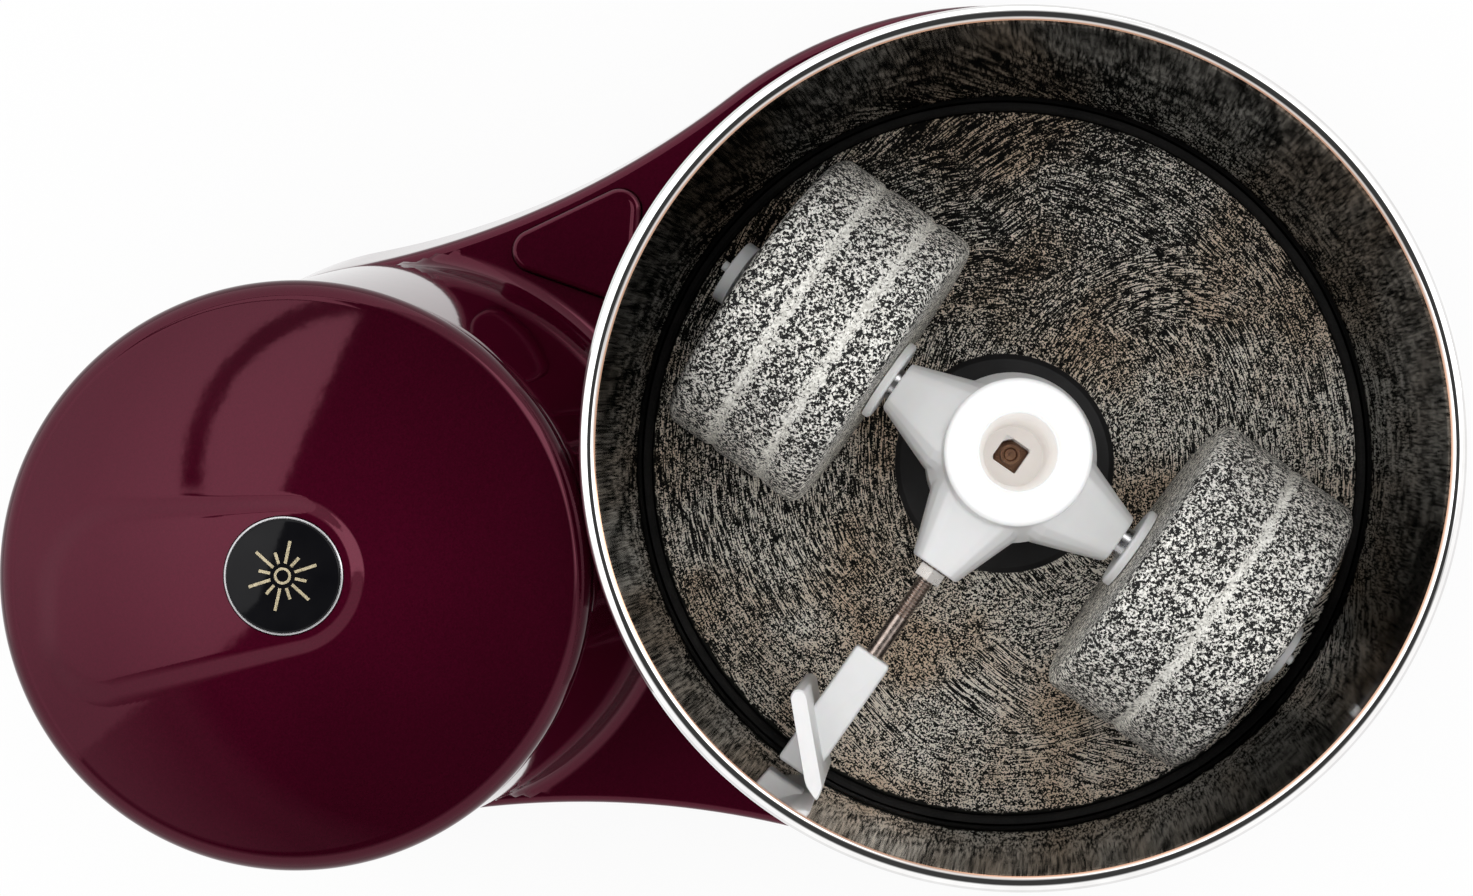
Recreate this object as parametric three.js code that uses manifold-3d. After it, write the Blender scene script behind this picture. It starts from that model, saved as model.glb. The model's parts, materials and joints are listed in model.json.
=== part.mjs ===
import * as THREE from "three";
import { mergeVertices } from "three/addons/utils/BufferGeometryUtils.js";
import Module from "manifold-3d";

// Table top wet grinder: a steel drum with a stone floor turns under two stones that roll on it.
// Millimetres, +Z up, feet on z = 0. The user stands on the -Y side, the motor tower is on +X.
// Inside the machine group the drum's axis is x = 0, y = 0.

const wasm = await Module();
wasm.setup();

// How many flat sides a round shape gets
const largeCount = 32;
const rollerCount = 22;
const mediumCount = 20;
const smallCount = 12;
const tinyCount = 8;
const boltCount = 6;
const flankCount = 5;
const cornerSteps = 2;
const squareSteps = 1;

// Clearances that all pieces share
const seatGap = 0.3;
const turnGap = 0.5;
const overrun = 2;

// Heights of the whole machine
const footHeight = 8;
const shellFoot = 5;
const baseTop = 70;
const drumLift = 30;
const stoneTop = baseTop + drumLift;
const drumDepth = 118;

// Drum: steel shell, stone floor and seal
const drumRadius = 115.5;
const drumWall = 1;
const drumCorner = 3;
const beadRadius = 2.8;
const beadSteps = 6;
const beadX = drumRadius + (drumWall + beadRadius) / 2;
const stoneThickness = 18.7;
const sealWidth = 2.5;
const sealRise = 1.5;
const stoneRadius = drumRadius - sealWidth - 2 * seatGap;
const stoneBore = 18;

// The motor's laminations, its mount and the capacitor beside it set the tower's width
const shellWall = 2.8;
const statorSize = 94;
const mountMargin = 3;
const mountSize = statorSize + 2 * mountMargin;
const capacitorRadius = 12;
const motorRoom = 3.2;

// Tower between the base top and the lid, on an axis that clears the drum's rim
const towerHeight = 125;
const seamHeight = baseTop + towerHeight;
const towerTopRadius = mountSize / 2 + 2 * capacitorRadius + motorRoom + shellWall;
const towerLean = 12;
const lidOverhang = 1.3;
const lidRadius = towerTopRadius + lidOverhang;
const lidClearance = 1;
const towerX = beadX + beadRadius + lidClearance + lidRadius;
const hollowClearance = 0.8;
const towerHollowRadius = beadX + beadRadius + hollowClearance;
const skirtRadius = 6;

// Base outline at its top edge: a round drum end, a round tower end and hollow flanks
const baseShift = 10;
const baseMargin = 28;
const drumEndRadius = drumRadius + baseMargin;
const towerEndRadius = towerTopRadius + towerLean;
const flankRadius = 300;
const frontFlare = 14;
const baseEdge = 3;

// Posts between the bottom plate and the shell
const postRadius = 5;
const postDrumInset = 18.2;
const postDrumAngle = 151.4;
const postTowerInset = 6;
const postTowerAngle = 25;

// Lid of the tower
const lidWaistRise = 9;
const lidWaist = seamHeight + lidWaistRise;
const lidEdge = 5.5;
const lidDome = 6.5;
const lidWall = 4;
const lidDomeSteps = 2;
const lidEdgeSteps = 4;
const lidSeam = 1.3;
const lidLip = 6;
const lipWall = 2.6;

// Raised tongue on the lid, and the badge sunk in its round end
const tongueAngle = -9.8;
const tongueRise = 2;
const tongueEndRadius = 21.5;
const tongueFrontX = 44.5;
const tongueFrontY = 4;
const tongueFrontRadius = 25;
const tongueRearX = 51;
const tongueRearY = 16.5;
const tongueRearRadius = 18.5;
const badgeRadius = 16.2;
const badgeHeight = 2.6;
const badgeSink = 2.1;
const badgeRimWidth = 0.9;
const badgeRimDrop = 0.4;

// Centre tube and boss of the drum
const tubeRadius = 12.5;
const tubeWall = 2;
const tubeClearance = 4;
const bossRadius = 35;
const bossThickness = 2;
const bossCollar = 6;
const bossCollarWall = 3;

// Drive under the drum
const couplerRadius = 58;
const couplerBore = 14;
const couplerThickness = 2.8;
const tableMargin = 2;
const turntableRadius = couplerRadius + tableMargin;
const turntableThickness = 4;
const turntableNeckWall = 7.7;
const lugInset = 13;
const lugCircle = couplerRadius - lugInset;
const lugRadius = 4;
const lugHeight = 2.5;
const lugCount = 3;
const collarGap = 7;
const collarWall = 3;
const collarHeight = 1.8;

// Fixed spindle and its bracket
const spindleRadius = 7.5;
const spindleSquare = 8;
const squareHeight = 8;
const spindleNose = 3.6;
const noseHeight = 2;
const dimpleRadius = 2.2;
const dimpleDepth = 1.4;
const bracketRadius = 40;
const bracketFlange = 6;
const bracketBossWall = 6.2;
const bracketHeight = 12.4;

// Bearings and belt drive
const bearingRadius = 16;
const bearingWidth = 9;
const bearingApart = 3.7;
const pulleyHubWall = 5;
const pulleyInset = 13.5;
const pulleyRim = drumRadius - pulleyInset;
const pulleyRimWall = 8;
const pulleyWidth = 18;
const pulleyFlange = 3.5;
const pulleyWeb = 4;
const beltDepth = 4;
const beltWidth = 9;
const beltClearance = 0.6;
const grooveDepth = 5.2;
const motorPulleyRadius = 13.4;

// Motor
const motorMountTop = 55;
const mountThickness = 5;
const mountLeg = 10;
const statorCorner = 14;
const statorHeight = 44;
const statorYoke = 18;
const statorBore = statorSize / 2 - statorYoke;
const mountLegInset = 6;
const mountLegApart = mountSize - 2 * mountLegInset;
const mountHole = 15;
const bellHeight = 22.4;
const bellWall = 3;
const bellRadius = statorSize / 2;
const bellBoss = 15;
const boltInset = 8.5;
const boltCircle = Math.SQRT2 * (statorSize / 2 - boltInset);
const boltRadius = 2.5;
const boltHead = 4.4;
const boltHeadHeight = 3;
const earRadius = 6.5;
const windingClearance = 1;
const windingOuter = bellRadius - bellWall - windingClearance;
const windingStep = 3;
const windingInner = statorBore + windingStep;
const windingHeight = 8;
const rotorGap = 2;
const rotorRadius = statorBore - rotorGap;
const shaftRadius = 5;
const shaftLow = 23;
const shaftAboveBell = 14;
const bellBossHeight = 7;
const fanRadius = 40;
const fanHub = 9;
const fanDisc = 1.6;
const fanBlade = 7;
const fanBladeWall = 1.6;
const fanBladeCount = 8;
const capacitorHeight = 60;
const capacitorX = -(mountSize / 2 + capacitorRadius);

// Bottom plate, feet and screws
const plateThickness = 3;
const plateInset = 0.4;
const footRadius = 12;
const footDrumInset = 39.5;
const footDrumAngle = 125.2;
const footTowerInset = 18.4;
const footTowerAngle = 42.8;
const footTaper = 2;
const footRecess = 4.5;
const footRecessDepth = 3;
const footNeck = 3.5;
const ventLength = 60;
const ventWidth = 5;
const ventCount = 5;
const ventPitch = 14;

// Roller holder: hub, arms, axles
const halfTurnDegrees = 180;
const axleAngle = -44.7;
const scraperAngle = 45.3;
const hubRadius = 21;
const hubTopRise = 44.7;
const hubBoreRadius = 10.4;
const hubBoreLow = 8.9;
const hubBoreDepth = 22;
const hubThreadDepth = 0.7;
const hubThreadCount = 2;
const hubWebThickness = 18;
const cavityGap = 1.5;
const hubCavity = tubeRadius + cavityGap;
const hubSkirtWall = 11.5;
const hubSkirtRadius = hubCavity + hubSkirtWall;
const skirtLift = 2.5;
const hubNeckRise = 14.7;
const hubShoulderRise = 2.7;
const hubEdge = 1;
const armRoot = 20;
const armRootWidth = 30;
const armTipWidth = 15.4;
const armRootSink = 20.3;
const armRootRise = 16.7;
const armTipSink = 9.8;
const armTipRise = 10.7;
const armTopShare = 0.42;
const armDropShare = 0.35;
const axleRadius = 5;
const axleSink = 14;
const axleOffset = 1.8;

// Rollers
const rollerRadius = 47;
const rollerEndGap = 23.6;
const rollerShare = 0.684;
const rollerRoom = drumRadius - rollerEndGap - hubRadius;
const rollerWidth = rollerRoom * rollerShare;
const rollerEdge = 2.4;
const rollerBore = 9.3;
const grooveWidth = 2.6;
const grooveSink = 0.9;
const grooveApartShare = 1 / 3;
const flangeRadius = 13;
const flangeWidth = 2.6;
const rollerStart = drumRadius - rollerEndGap - rollerWidth;
const armReach = rollerStart - 2 * seatGap - flangeWidth;
const capRadius = 10;
const capWidth = 3.8;
const capFloor = 1.6;
const capPlay = 5.3;
const nubRadius = 1.5;
const nubLength = 3;
const leftPlay = 1.4;
const rightPlay = 2.6;

// Scraper
const rodRadius = 2.6;
const threadDepth = 0.4;
const threadPitch = 1.2;
const threadCount = 7;
const nutFlats = 8;
const nutWidth = 4.2;
const rodSink = 12;
const scraperBlock = 12;
const scraperBlockHeight = 12;
const scraperBlockLength = 41;
const scraperInset = 2.5;
const scraperBlockEnd = drumRadius - scraperInset;
const scraperBlockStart = scraperBlockEnd - scraperBlockLength;
const paddleWall = 4.6;
const paddleBack = 8.9;
const paddleInnerReach = 24.9;
const paddleOuterReach = 7;
const paddleTopDrop = 31;
const paddleLift = 1.5;

// Press button on the base top, its spring, switch and bracket
const padFrontTowerX = 140.5;
const padFrontTowerY = -97;
const padFrontDrumX = 110;
const padFrontDrumY = -105.5;
const padInnerX = 115.5;
const padInnerY = -83;
const padCorner = 7;
const padRise = 3.2;
const padBevel = 1.6;
const padThickness = 7;
const padTravel = 3;
const stemRadius = 4;
const stemX = 122;
const stemY = -95;
const pressSwitchTop = 42;
const pressSwitchHeight = 12;
const pressSwitchLength = 20;
const pressSwitchDepth = 11;
const pressBracketWall = 4;
const springRadius = 7;
const springWire = 0.7;
const springCoilCount = 6;
const springSteps = 8;
const springSides = 5;
const padSteps = 4;

// Power switch in the tower's outer wall
const switchHeight = 120;
const switchWidth = 30;
const switchTall = 22;
const switchDepth = 22;
const switchBezel = 2.5;
const switchBezelThickness = 2;
const switchBossMargin = 5;
const switchBossDepth = 5;
const switchCavityMargin = 2;
const switchCavityDepth = 13;
const rockerClearance = 1.5;
const rockerWidth = switchWidth - 2 * (switchCavityMargin + rockerClearance);
const rockerTall = switchTall - 2 * (switchCavityMargin + rockerClearance);
const rockerThickness = 4;
const rockerAngle = 18;
const rockerPivotDepth = 2.5;
const rockerKeel = 4;

// Cord gland, terminal block and leads
const glandAngle = 70;
const glandHeight = 30;
const glandBore = 3.6;
const glandRadius = 6.4;
const glandFlange = 9.5;
const glandFlangeWidth = 3;
const glandNose = 9;
const glandInside = 8;
const terminalInset = 13;
const terminalX = towerTopRadius - terminalInset;
const terminalLength = 34;
const terminalDepth = 14;
const terminalHeight = 15;
const leadRadius = 1.9;
const leadSides = 6;
const leadSteps = 14;
const supplyPlaces = [
  [32, 73, 30], [28.5, 63.5, 30], [44, 60, 28], [62, 46, 24], [67, 30, 20], [67, 18, 19]];
const motorPlaces = [
  [67, -6, 26.9], [67, -6, 33], [68, -6, 45], [63, -5, 62], [54, -2.5, 66.2], [47.3, -2.5, 66.2]];
const switchPlaces = [
  [67, 8, 26.9], [67, 8, 33], [74, 6, 50], [66, 0, 85], [56, -5, 106], [58, -6, 117], [63.5, -6, 119]];

// Materials
const finish = (color, roughness, metalness) =>
  new THREE.MeshStandardMaterial({ color, roughness, metalness });
const cherry = finish(0x4a0518, 0.12, 0);
const steel = finish(0xc9cbcc, 0.12, 1);
const darkSteel = finish(0x74706a, 0.35, 1);
const copper = finish(0xb0663a, 0.4, 1);
const castAlloy = finish(0xa9abad, 0.5, 1);
const nylon = finish(0xe9ebec, 0.35, 0);
const blackPlastic = finish(0x141416, 0.45, 0);
const blackRubber = finish(0x161514, 0.8, 0);
const floorGranite = finish(0x55504a, 0.8, 0);
const rollerGranite = finish(0xc4c1b8, 0.8, 0);
const greyPlastic = finish(0x8d9093, 0.5, 0);

// Geometry helpers

function signedVolume(position, index) {
  const [a, b, c] = [new THREE.Vector3(), new THREE.Vector3(), new THREE.Vector3()];
  let sum = 0;
  for (let i = 0; i < index.count; i += 3) {
    a.fromBufferAttribute(position, index.getX(i));
    b.fromBufferAttribute(position, index.getX(i + 1));
    c.fromBufferAttribute(position, index.getX(i + 2));
    sum += a.dot(b.cross(c));
  }
  return sum;
}

// Shared vertices are merged, empty triangles dropped, and the faces turned outwards
function closed(geometry) {
  const bare = geometry.clone();
  bare.deleteAttribute("normal");
  bare.deleteAttribute("uv");
  const merged = mergeVertices(bare);
  const inwards = signedVolume(merged.attributes.position, merged.index) < 0;
  const kept = [];
  for (let i = 0; i < merged.index.count; i += 3) {
    const [a, b, c] = [0, 1, 2].map((k) => merged.index.getX(i + k));
    if (a !== b && b !== c && c !== a) kept.push(...(inwards ? [a, c, b] : [a, b, c]));
  }
  merged.setIndex(kept);
  merged.computeVertexNormals();
  return merged;
}

function toSolid(geometry) {
  const merged = closed(geometry);
  return new wasm.Manifold(new wasm.Mesh({
    numProp: 3,
    vertProperties: new Float32Array(merged.attributes.position.array),
    triVerts: new Uint32Array(merged.index.array),
  }));
}

function toGeometry(solid) {
  const mesh = solid.getMesh();
  const geometry = new THREE.BufferGeometry();
  geometry.setAttribute("position", new THREE.BufferAttribute(mesh.vertProperties, 3));
  geometry.setIndex(new THREE.BufferAttribute(mesh.triVerts, 1));
  geometry.computeVertexNormals();
  return geometry;
}

const joined = (first, ...others) =>
  toGeometry(others.reduce((sum, other) => sum.add(toSolid(other)), toSolid(first)));
const cut = (first, ...others) =>
  toGeometry(others.reduce((rest, other) => rest.subtract(toSolid(other)), toSolid(first)));
const common = (first, second) => toGeometry(toSolid(first).intersect(toSolid(second)));

// A profile of [radius, height] points turned round the Z axis
function turned(profile, count) {
  const path = profile[0][0] === 0 ? profile : [...profile, profile[0]];
  const points = path.map(([radius, height]) => new THREE.Vector2(radius, height));
  return closed(new THREE.LatheGeometry(points, count).rotateX(Math.PI / 2));
}

const disc = (radius, low, high, count) =>
  turned([[0, low], [radius, low], [radius, high], [0, high]], count);
const ring = (inner, outer, low, high, count) =>
  turned([[inner, low], [outer, low], [outer, high], [inner, high]], count);

function block(lowX, highX, lowY, highY, lowZ, highZ) {
  const box = new THREE.BoxGeometry(highX - lowX, highY - lowY, highZ - lowZ);
  return closed(box.translate((lowX + highX) / 2, (lowY + highY) / 2, (lowZ + highZ) / 2));
}

const prism = (shape, low, high, curveSegments = smallCount) =>
  closed(new THREE.ExtrudeGeometry(shape, { depth: high - low, bevelEnabled: false, curveSegments })
    .translate(0, 0, low));

// Rings of equally many points, one above the other, joined by a wall and closed at both ends
function loft(rings) {
  const count = rings[0].points.length;
  const position = rings.flatMap(({ points, height }) => points.flatMap(({ x, y }) => [x, y, height]));
  const index = [];
  for (let level = 1; level < rings.length; level += 1) {
    for (let i = 0; i < count; i += 1) {
      const below = (level - 1) * count;
      const above = level * count;
      const next = (i + 1) % count;
      index.push(below + i, below + next, above + next, below + i, above + next, above + i);
    }
  }
  const last = (rings.length - 1) * count;
  THREE.ShapeUtils.triangulateShape(rings[0].points, []).forEach(([a, b, c]) => index.push(a, c, b));
  THREE.ShapeUtils.triangulateShape(rings[rings.length - 1].points, [])
    .forEach(([a, b, c]) => index.push(last + a, last + b, last + c));
  const geometry = new THREE.BufferGeometry();
  geometry.setAttribute("position", new THREE.Float32BufferAttribute(position, 3));
  geometry.setIndex(index);
  return closed(geometry);
}

function arcPoints(x, y, radius, from, to, steps) {
  return Array.from({ length: steps + 1 }, (_, i) => {
    const angle = from + ((to - from) * i) / steps;
    return new THREE.Vector2(x + radius * Math.cos(angle), y + radius * Math.sin(angle));
  });
}

const circlePoints = (x, y, radius, count) =>
  arcPoints(x, y, radius, 0, 2 * Math.PI, count).slice(0, count);

// The tight outline round a list of circles, given counter-clockwise
function outlineRound(circles) {
  const normals = circles.map((circle, i) => {
    const next = circles[(i + 1) % circles.length];
    const [dx, dy] = [next.x - circle.x, next.y - circle.y];
    const lean = Math.asin((circle.radius - next.radius) / Math.hypot(dx, dy));
    return Math.atan2(dy, dx) - Math.PI / 2 + lean;
  });
  const shape = new THREE.Shape();
  circles.forEach((circle, i) => {
    const from = normals[(i + circles.length - 1) % circles.length];
    let to = normals[i];
    while (to < from) to += 2 * Math.PI;
    shape.absarc(circle.x, circle.y, circle.radius, from, to, false);
  });
  return shape;
}

function roundedRectangle(width, height, corner) {
  const [x, y] = [width / 2 - corner, height / 2 - corner];
  const radius = corner;
  return outlineRound([
    { x: -x, y: -y, radius }, { x, y: -y, radius }, { x, y, radius }, { x: -x, y, radius }]);
}

const circlePath = (x, y, radius) => new THREE.Path().absarc(x, y, radius, 0, 2 * Math.PI, true);

// A shape modelled upwards is laid down along +X, with its own +X side up
const layingDown = new THREE.Matrix4().makeBasis(
  new THREE.Vector3(0, 0, 1), new THREE.Vector3(0, -1, 0), new THREE.Vector3(1, 0, 0));
const laid = (geometry) => geometry.clone().applyMatrix4(layingDown);
const around = (geometry, degrees) => geometry.clone().rotateZ(THREE.MathUtils.degToRad(degrees));
const shifted = (geometry, x, y, z) => geometry.clone().translate(x, y, z);

function tube(points, radius, sides, steps) {
  const section = new THREE.Shape(circlePoints(0, 0, radius, sides));
  const extrudePath = points instanceof THREE.Curve ? points : new THREE.CatmullRomCurve3(points);
  return closed(new THREE.ExtrudeGeometry(section, { steps, extrudePath, bevelEnabled: false }));
}

// The scene graph: groups for what moves together, one named mesh for each piece

const group = new THREE.Group();
const machine = new THREE.Group();
const tower = new THREE.Group();
const holder = new THREE.Group();
group.add(machine);
machine.add(tower, holder);
tower.position.x = towerX;

function piece(name, geometry, material, parent = machine) {
  const mesh = new THREE.Mesh(geometry, material);
  mesh.name = name;
  parent.add(mesh);
  return mesh;
}

// Base outline at a height, drawn in by an inset: the front wall leans out towards the table

const filletCentre = (first, second, radius, side) => {
  const [reach, otherReach] = [first.radius + radius, second.radius + radius];
  const [dx, dy] = [second.x - first.x, second.y - first.y];
  const apart = Math.hypot(dx, dy);
  const along = (apart ** 2 + reach ** 2 - otherReach ** 2) / (2 * apart);
  const across = side * Math.sqrt(reach ** 2 - along ** 2);
  return {
    x: first.x + (along * dx - across * dy) / apart,
    y: first.y + (along * dy + across * dx) / apart,
  };
};

const flareAt = (height) => (frontFlare * (baseTop - height)) / (baseTop - shellFoot);

function baseCircles(height, inset) {
  const lean = flareAt(height) / 2;
  const y = -baseShift - lean;
  return {
    drumEnd: { x: 0, y, radius: drumEndRadius + lean - inset },
    towerEnd: { x: towerX, y, radius: towerEndRadius + lean - inset },
  };
}

function baseOutline(height, inset) {
  const { drumEnd, towerEnd } = baseCircles(height, inset);
  const flank = flankRadius + inset;
  const rear = filletCentre(drumEnd, towerEnd, flank, 1);
  const front = filletCentre(drumEnd, towerEnd, flank, -1);
  const angle = (from, to) => Math.atan2(to.y - from.y, to.x - from.x);
  const turn = 2 * Math.PI;
  return [
    ...arcPoints(drumEnd.x, drumEnd.y, drumEnd.radius,
      angle(drumEnd, rear), angle(drumEnd, front) + turn, rollerCount),
    ...arcPoints(front.x, front.y, flank, angle(front, drumEnd), angle(front, towerEnd), flankCount).slice(1),
    ...arcPoints(towerEnd.x, towerEnd.y, towerEnd.radius,
      angle(towerEnd, front), angle(towerEnd, rear), mediumCount).slice(1),
    ...arcPoints(rear.x, rear.y, flank, angle(rear, towerEnd), angle(rear, drumEnd), flankCount).slice(1, -1),
  ];
}

const baseRing = (height, inset) => ({ points: baseOutline(height, inset), height });

// The tower's wall: round, upright at the rear and leaning out towards the front

function towerCircle(height, inset) {
  const share = (seamHeight - height) / (seamHeight - baseTop);
  return {
    y: -baseShift * share,
    radius: towerTopRadius + (towerEndRadius - towerTopRadius) * share - inset,
  };
}

function towerRing(height, inset, spread = 0) {
  const { y, radius } = towerCircle(height, inset);
  return { points: circlePoints(towerX, y, radius + spread, largeCount), height };
}

function skirt() {
  const outShares = [1, 0.3, 0];
  const upShares = [0, 0.3, 1];
  const flare = loft([
    towerRing(baseTop - shellWall / 2, 0, skirtRadius),
    ...outShares.map((share, i) => towerRing(baseTop + skirtRadius * upShares[i], 0, skirtRadius * share)),
  ]);
  const within = loft([
    baseRing(baseTop - shellWall, baseEdge),
    { points: baseOutline(baseTop, baseEdge), height: baseTop + skirtRadius + overrun },
  ]);
  return common(flare, within);
}

function padShape(margin) {
  const radius = padCorner + margin;
  return outlineRound([
    { x: padFrontDrumX, y: padFrontDrumY, radius },
    { x: padFrontTowerX, y: padFrontTowerY, radius },
    { x: padInnerX, y: padInnerY, radius },
  ]);
}

// The power switch stands square to the tower's outer wall
const switchLean = Math.atan2(towerEndRadius - towerTopRadius, seamHeight - baseTop);
const switchPlace = new THREE.Matrix4()
  .makeTranslation(towerX + towerCircle(switchHeight, 0).radius, towerCircle(switchHeight, 0).y, switchHeight)
  .multiply(new THREE.Matrix4().makeRotationY(-switchLean))
  .multiply(layingDown);
const atSwitch = (geometry) => geometry.clone().applyMatrix4(switchPlace);
const switchBox = (margin, low, high) =>
  prism(roundedRectangle(switchTall + 2 * margin, switchWidth + 2 * margin, switchBezel), low, high,
    cornerSteps);

// The cord gland stands square to the rear wall
const glandCircle = baseCircles(glandHeight, 0).towerEnd;
const atGland = (geometry) =>
  around(laid(geometry), glandAngle).translate(towerX, glandCircle.y, glandHeight);

// Two mirrored places in one round end of the base
function endPlaces(middleX, reach, degrees) {
  const angle = THREE.MathUtils.degToRad(degrees);
  return [-1, 1].map((side) => ({
    x: middleX + reach * Math.cos(angle), y: side * reach * Math.sin(angle) - baseShift }));
}

// Posts that carry the shell on the bottom plate
const plateLow = footHeight + seatGap;
const plateHigh = plateLow + plateThickness;
const posts = [
  ...endPlaces(0, drumEndRadius - postDrumInset, postDrumAngle),
  ...endPlaces(towerX, towerEndRadius - postTowerInset, postTowerAngle),
].map(({ x, y }) =>
  shifted(disc(postRadius, plateHigh + seatGap, baseTop - shellWall / 2, smallCount), x, y, 0));

function bodyShell() {
  const outerBase = loft([
    baseRing(shellFoot, 0),
    baseRing(baseTop - baseEdge, 0),
    baseRing(baseTop, baseEdge),
  ]);
  const hollow = (wall, low) => disc(towerHollowRadius + wall, low, seamHeight + 2 * overrun, largeCount);
  const outerTower = cut(
    joined(loft([towerRing(baseTop - shellWall, 0), towerRing(seamHeight, 0)]), skirt()),
    hollow(0, baseTop),
  );
  const innerBase = loft([
    baseRing(shellFoot - overrun, shellWall), baseRing(baseTop - shellWall, shellWall)]);
  const innerTower = cut(
    loft([towerRing(baseTop - 2 * shellWall, shellWall), towerRing(seamHeight + overrun, shellWall)]),
    hollow(shellWall, baseTop - 3 * shellWall),
  );
  const collarInner = bearingRadius + seatGap + turntableNeckWall + collarGap;
  const collar = disc(collarInner + collarWall, baseTop - shellWall / 2, baseTop + collarHeight, mediumCount);
  const boss = atSwitch(switchBox(switchBossMargin, -switchBossDepth, switchBezelThickness / 2));
  const shell = cut(
    joined(outerBase, outerTower, boss, collar),
    innerBase,
    innerTower,
    disc(collarInner, baseTop - 2 * shellWall, baseTop + collarHeight + overrun, mediumCount),
    prism(padShape(turnGap), baseTop - 2 * shellWall, baseTop + padRise, padSteps),
    atSwitch(switchBox(seatGap, -switchDepth, switchBezelThickness + overrun)),
    atGland(disc(glandRadius + seatGap, glandCircle.radius - glandInside, glandCircle.radius + glandNose,
      smallCount)),
  );
  return joined(shell, ...posts);
}

piece("body_shell", bodyShell(), cherry);

// Bottom plate with vents, on four feet

const feetPlaces = [
  ...endPlaces(0, drumEndRadius - footDrumInset, footDrumAngle),
  ...endPlaces(towerX, towerEndRadius - footTowerInset, footTowerAngle),
];

function bottomPlate() {
  const outline = new THREE.Shape(baseOutline(plateHigh, shellWall + plateInset));
  const vents = Array.from({ length: ventCount }, (_, i) => {
    const x = towerX + (i - (ventCount - 1) / 2) * ventPitch;
    return block(x - ventWidth / 2, x + ventWidth / 2, -ventLength / 2, ventLength / 2,
      plateLow - overrun, plateHigh + overrun);
  });
  const holes = feetPlaces.map(({ x, y }) =>
    shifted(disc(footNeck + seatGap, plateLow - overrun, plateHigh + overrun, tinyCount), x, y, 0));
  return cut(prism(outline, plateLow, plateHigh), ...vents, ...holes);
}

piece("bottom_plate", bottomPlate(), darkSteel);

const foot = turned([
  [0, footRecessDepth], [footRecess, footRecessDepth], [footRecess, 0], [footRadius - footTaper, 0],
  [footRadius, footTaper], [footRadius, footHeight], [footNeck, footHeight],
  [footNeck, plateHigh + footTaper], [0, plateHigh + footTaper],
], smallCount);
feetPlaces.forEach(({ x, y }, i) => piece(`foot_${i + 1}`, foot, blackRubber).position.set(x, y, 0));

// Fixed spindle on its bracket: it carries two bearings and ends in a square for the hub

const bracketLow = plateHigh + seatGap;
const bracketTop = bracketLow + bracketHeight;
const bracketBore = spindleRadius + seatGap;
const bracketBoss = bracketBore + bracketBossWall;
const bracketSeat = bracketLow + seatGap + bracketFlange / 2;
piece("bearing_bracket", turned([
  [0, bracketLow], [bracketRadius, bracketLow], [bracketRadius, bracketLow + bracketFlange],
  [bracketBoss, bracketLow + bracketFlange], [bracketBoss, bracketTop], [bracketBore, bracketTop],
  [bracketBore, bracketSeat], [0, bracketSeat],
], mediumCount), castAlloy);

const stoneLow = stoneTop - stoneThickness;
const panTop = stoneLow - seatGap;
const axleHeight = stoneTop + seatGap + rollerRadius;
const hubTop = axleHeight + hubTopRise;
const hubWebLow = hubTop - hubBoreDepth - hubWebThickness;
const spindleShoulder = hubWebLow - seatGap;
const noseLow = spindleShoulder + squareHeight;
const noseTop = noseLow + noseHeight;

function spindle() {
  const half = spindleSquare / 2;
  const shaft = disc(spindleRadius, bracketSeat + seatGap, spindleShoulder, smallCount);
  const square = around(block(-half, half, -half, half, spindleShoulder - overrun, noseLow), scraperAngle);
  const nose = turned([
    [0, noseLow - overrun], [spindleNose, noseLow - overrun], [spindleNose, noseTop],
    [dimpleRadius, noseTop], [0, noseTop - dimpleDepth],
  ], tinyCount);
  return joined(shaft, square, nose);
}

piece("spindle", spindle(), copper);

const bearing = ring(spindleRadius + seatGap, bearingRadius, 0, bearingWidth, mediumCount);
const bearingLow = bracketTop + seatGap;
const bearingHigh = bearingLow + bearingWidth + bearingApart;
piece("bearing_lower", bearing, steel).position.z = bearingLow;
piece("bearing_upper", bearing, steel).position.z = bearingHigh;

// Driven pulley, turntable with its lugs, and the belt to the motor pulley

const driveTop = bearingHigh + bearingWidth;
const beltMiddle = (bearingLow + driveTop) / 2;
const [rimLow, rimHigh] = [beltMiddle - pulleyWidth / 2, beltMiddle + pulleyWidth / 2];
const grooveReach = beltWidth / 2 + turnGap;
const [grooveLow, grooveHigh] = [beltMiddle - grooveReach, beltMiddle + grooveReach];

function grooved(rim, inner) {
  return [
    [rim, rimLow], [rim, rimLow + pulleyFlange], [rim - grooveDepth, grooveLow],
    [rim - grooveDepth, grooveHigh], [rim, rimHigh - pulleyFlange], [rim, rimHigh], [inner, rimHigh],
  ];
}

const pulleyBore = bearingRadius + seatGap;
const pulleyHub = pulleyBore + pulleyHubWall;
const pulleyInner = pulleyRim - pulleyRimWall;
const turntableNeck = pulleyBore + turntableNeckWall;
piece("driven_pulley", turned([
  [pulleyBore, bearingLow], [pulleyHub, bearingLow], [pulleyHub, beltMiddle - pulleyWeb / 2],
  [pulleyInner, beltMiddle - pulleyWeb / 2], [pulleyInner, rimLow],
  ...grooved(pulleyRim, pulleyInner),
  [pulleyInner, beltMiddle + pulleyWeb / 2], [pulleyHub, beltMiddle + pulleyWeb / 2],
  [pulleyHub, driveTop], [pulleyBore, driveTop],
], rollerCount), castAlloy);

const panBottom = panTop - drumWall;
const couplerTop = panBottom - seatGap;
const couplerLow = couplerTop - couplerThickness;
const tableTop = couplerLow - seatGap;
const tableLow = tableTop - turntableThickness;
const lugAngles = Array.from({ length: lugCount }, (_, i) => (2 * Math.PI * i) / lugCount);
const atLugs = (geometry) => lugAngles.map((angle) =>
  shifted(geometry, lugCircle * Math.cos(angle), lugCircle * Math.sin(angle), 0));

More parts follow.
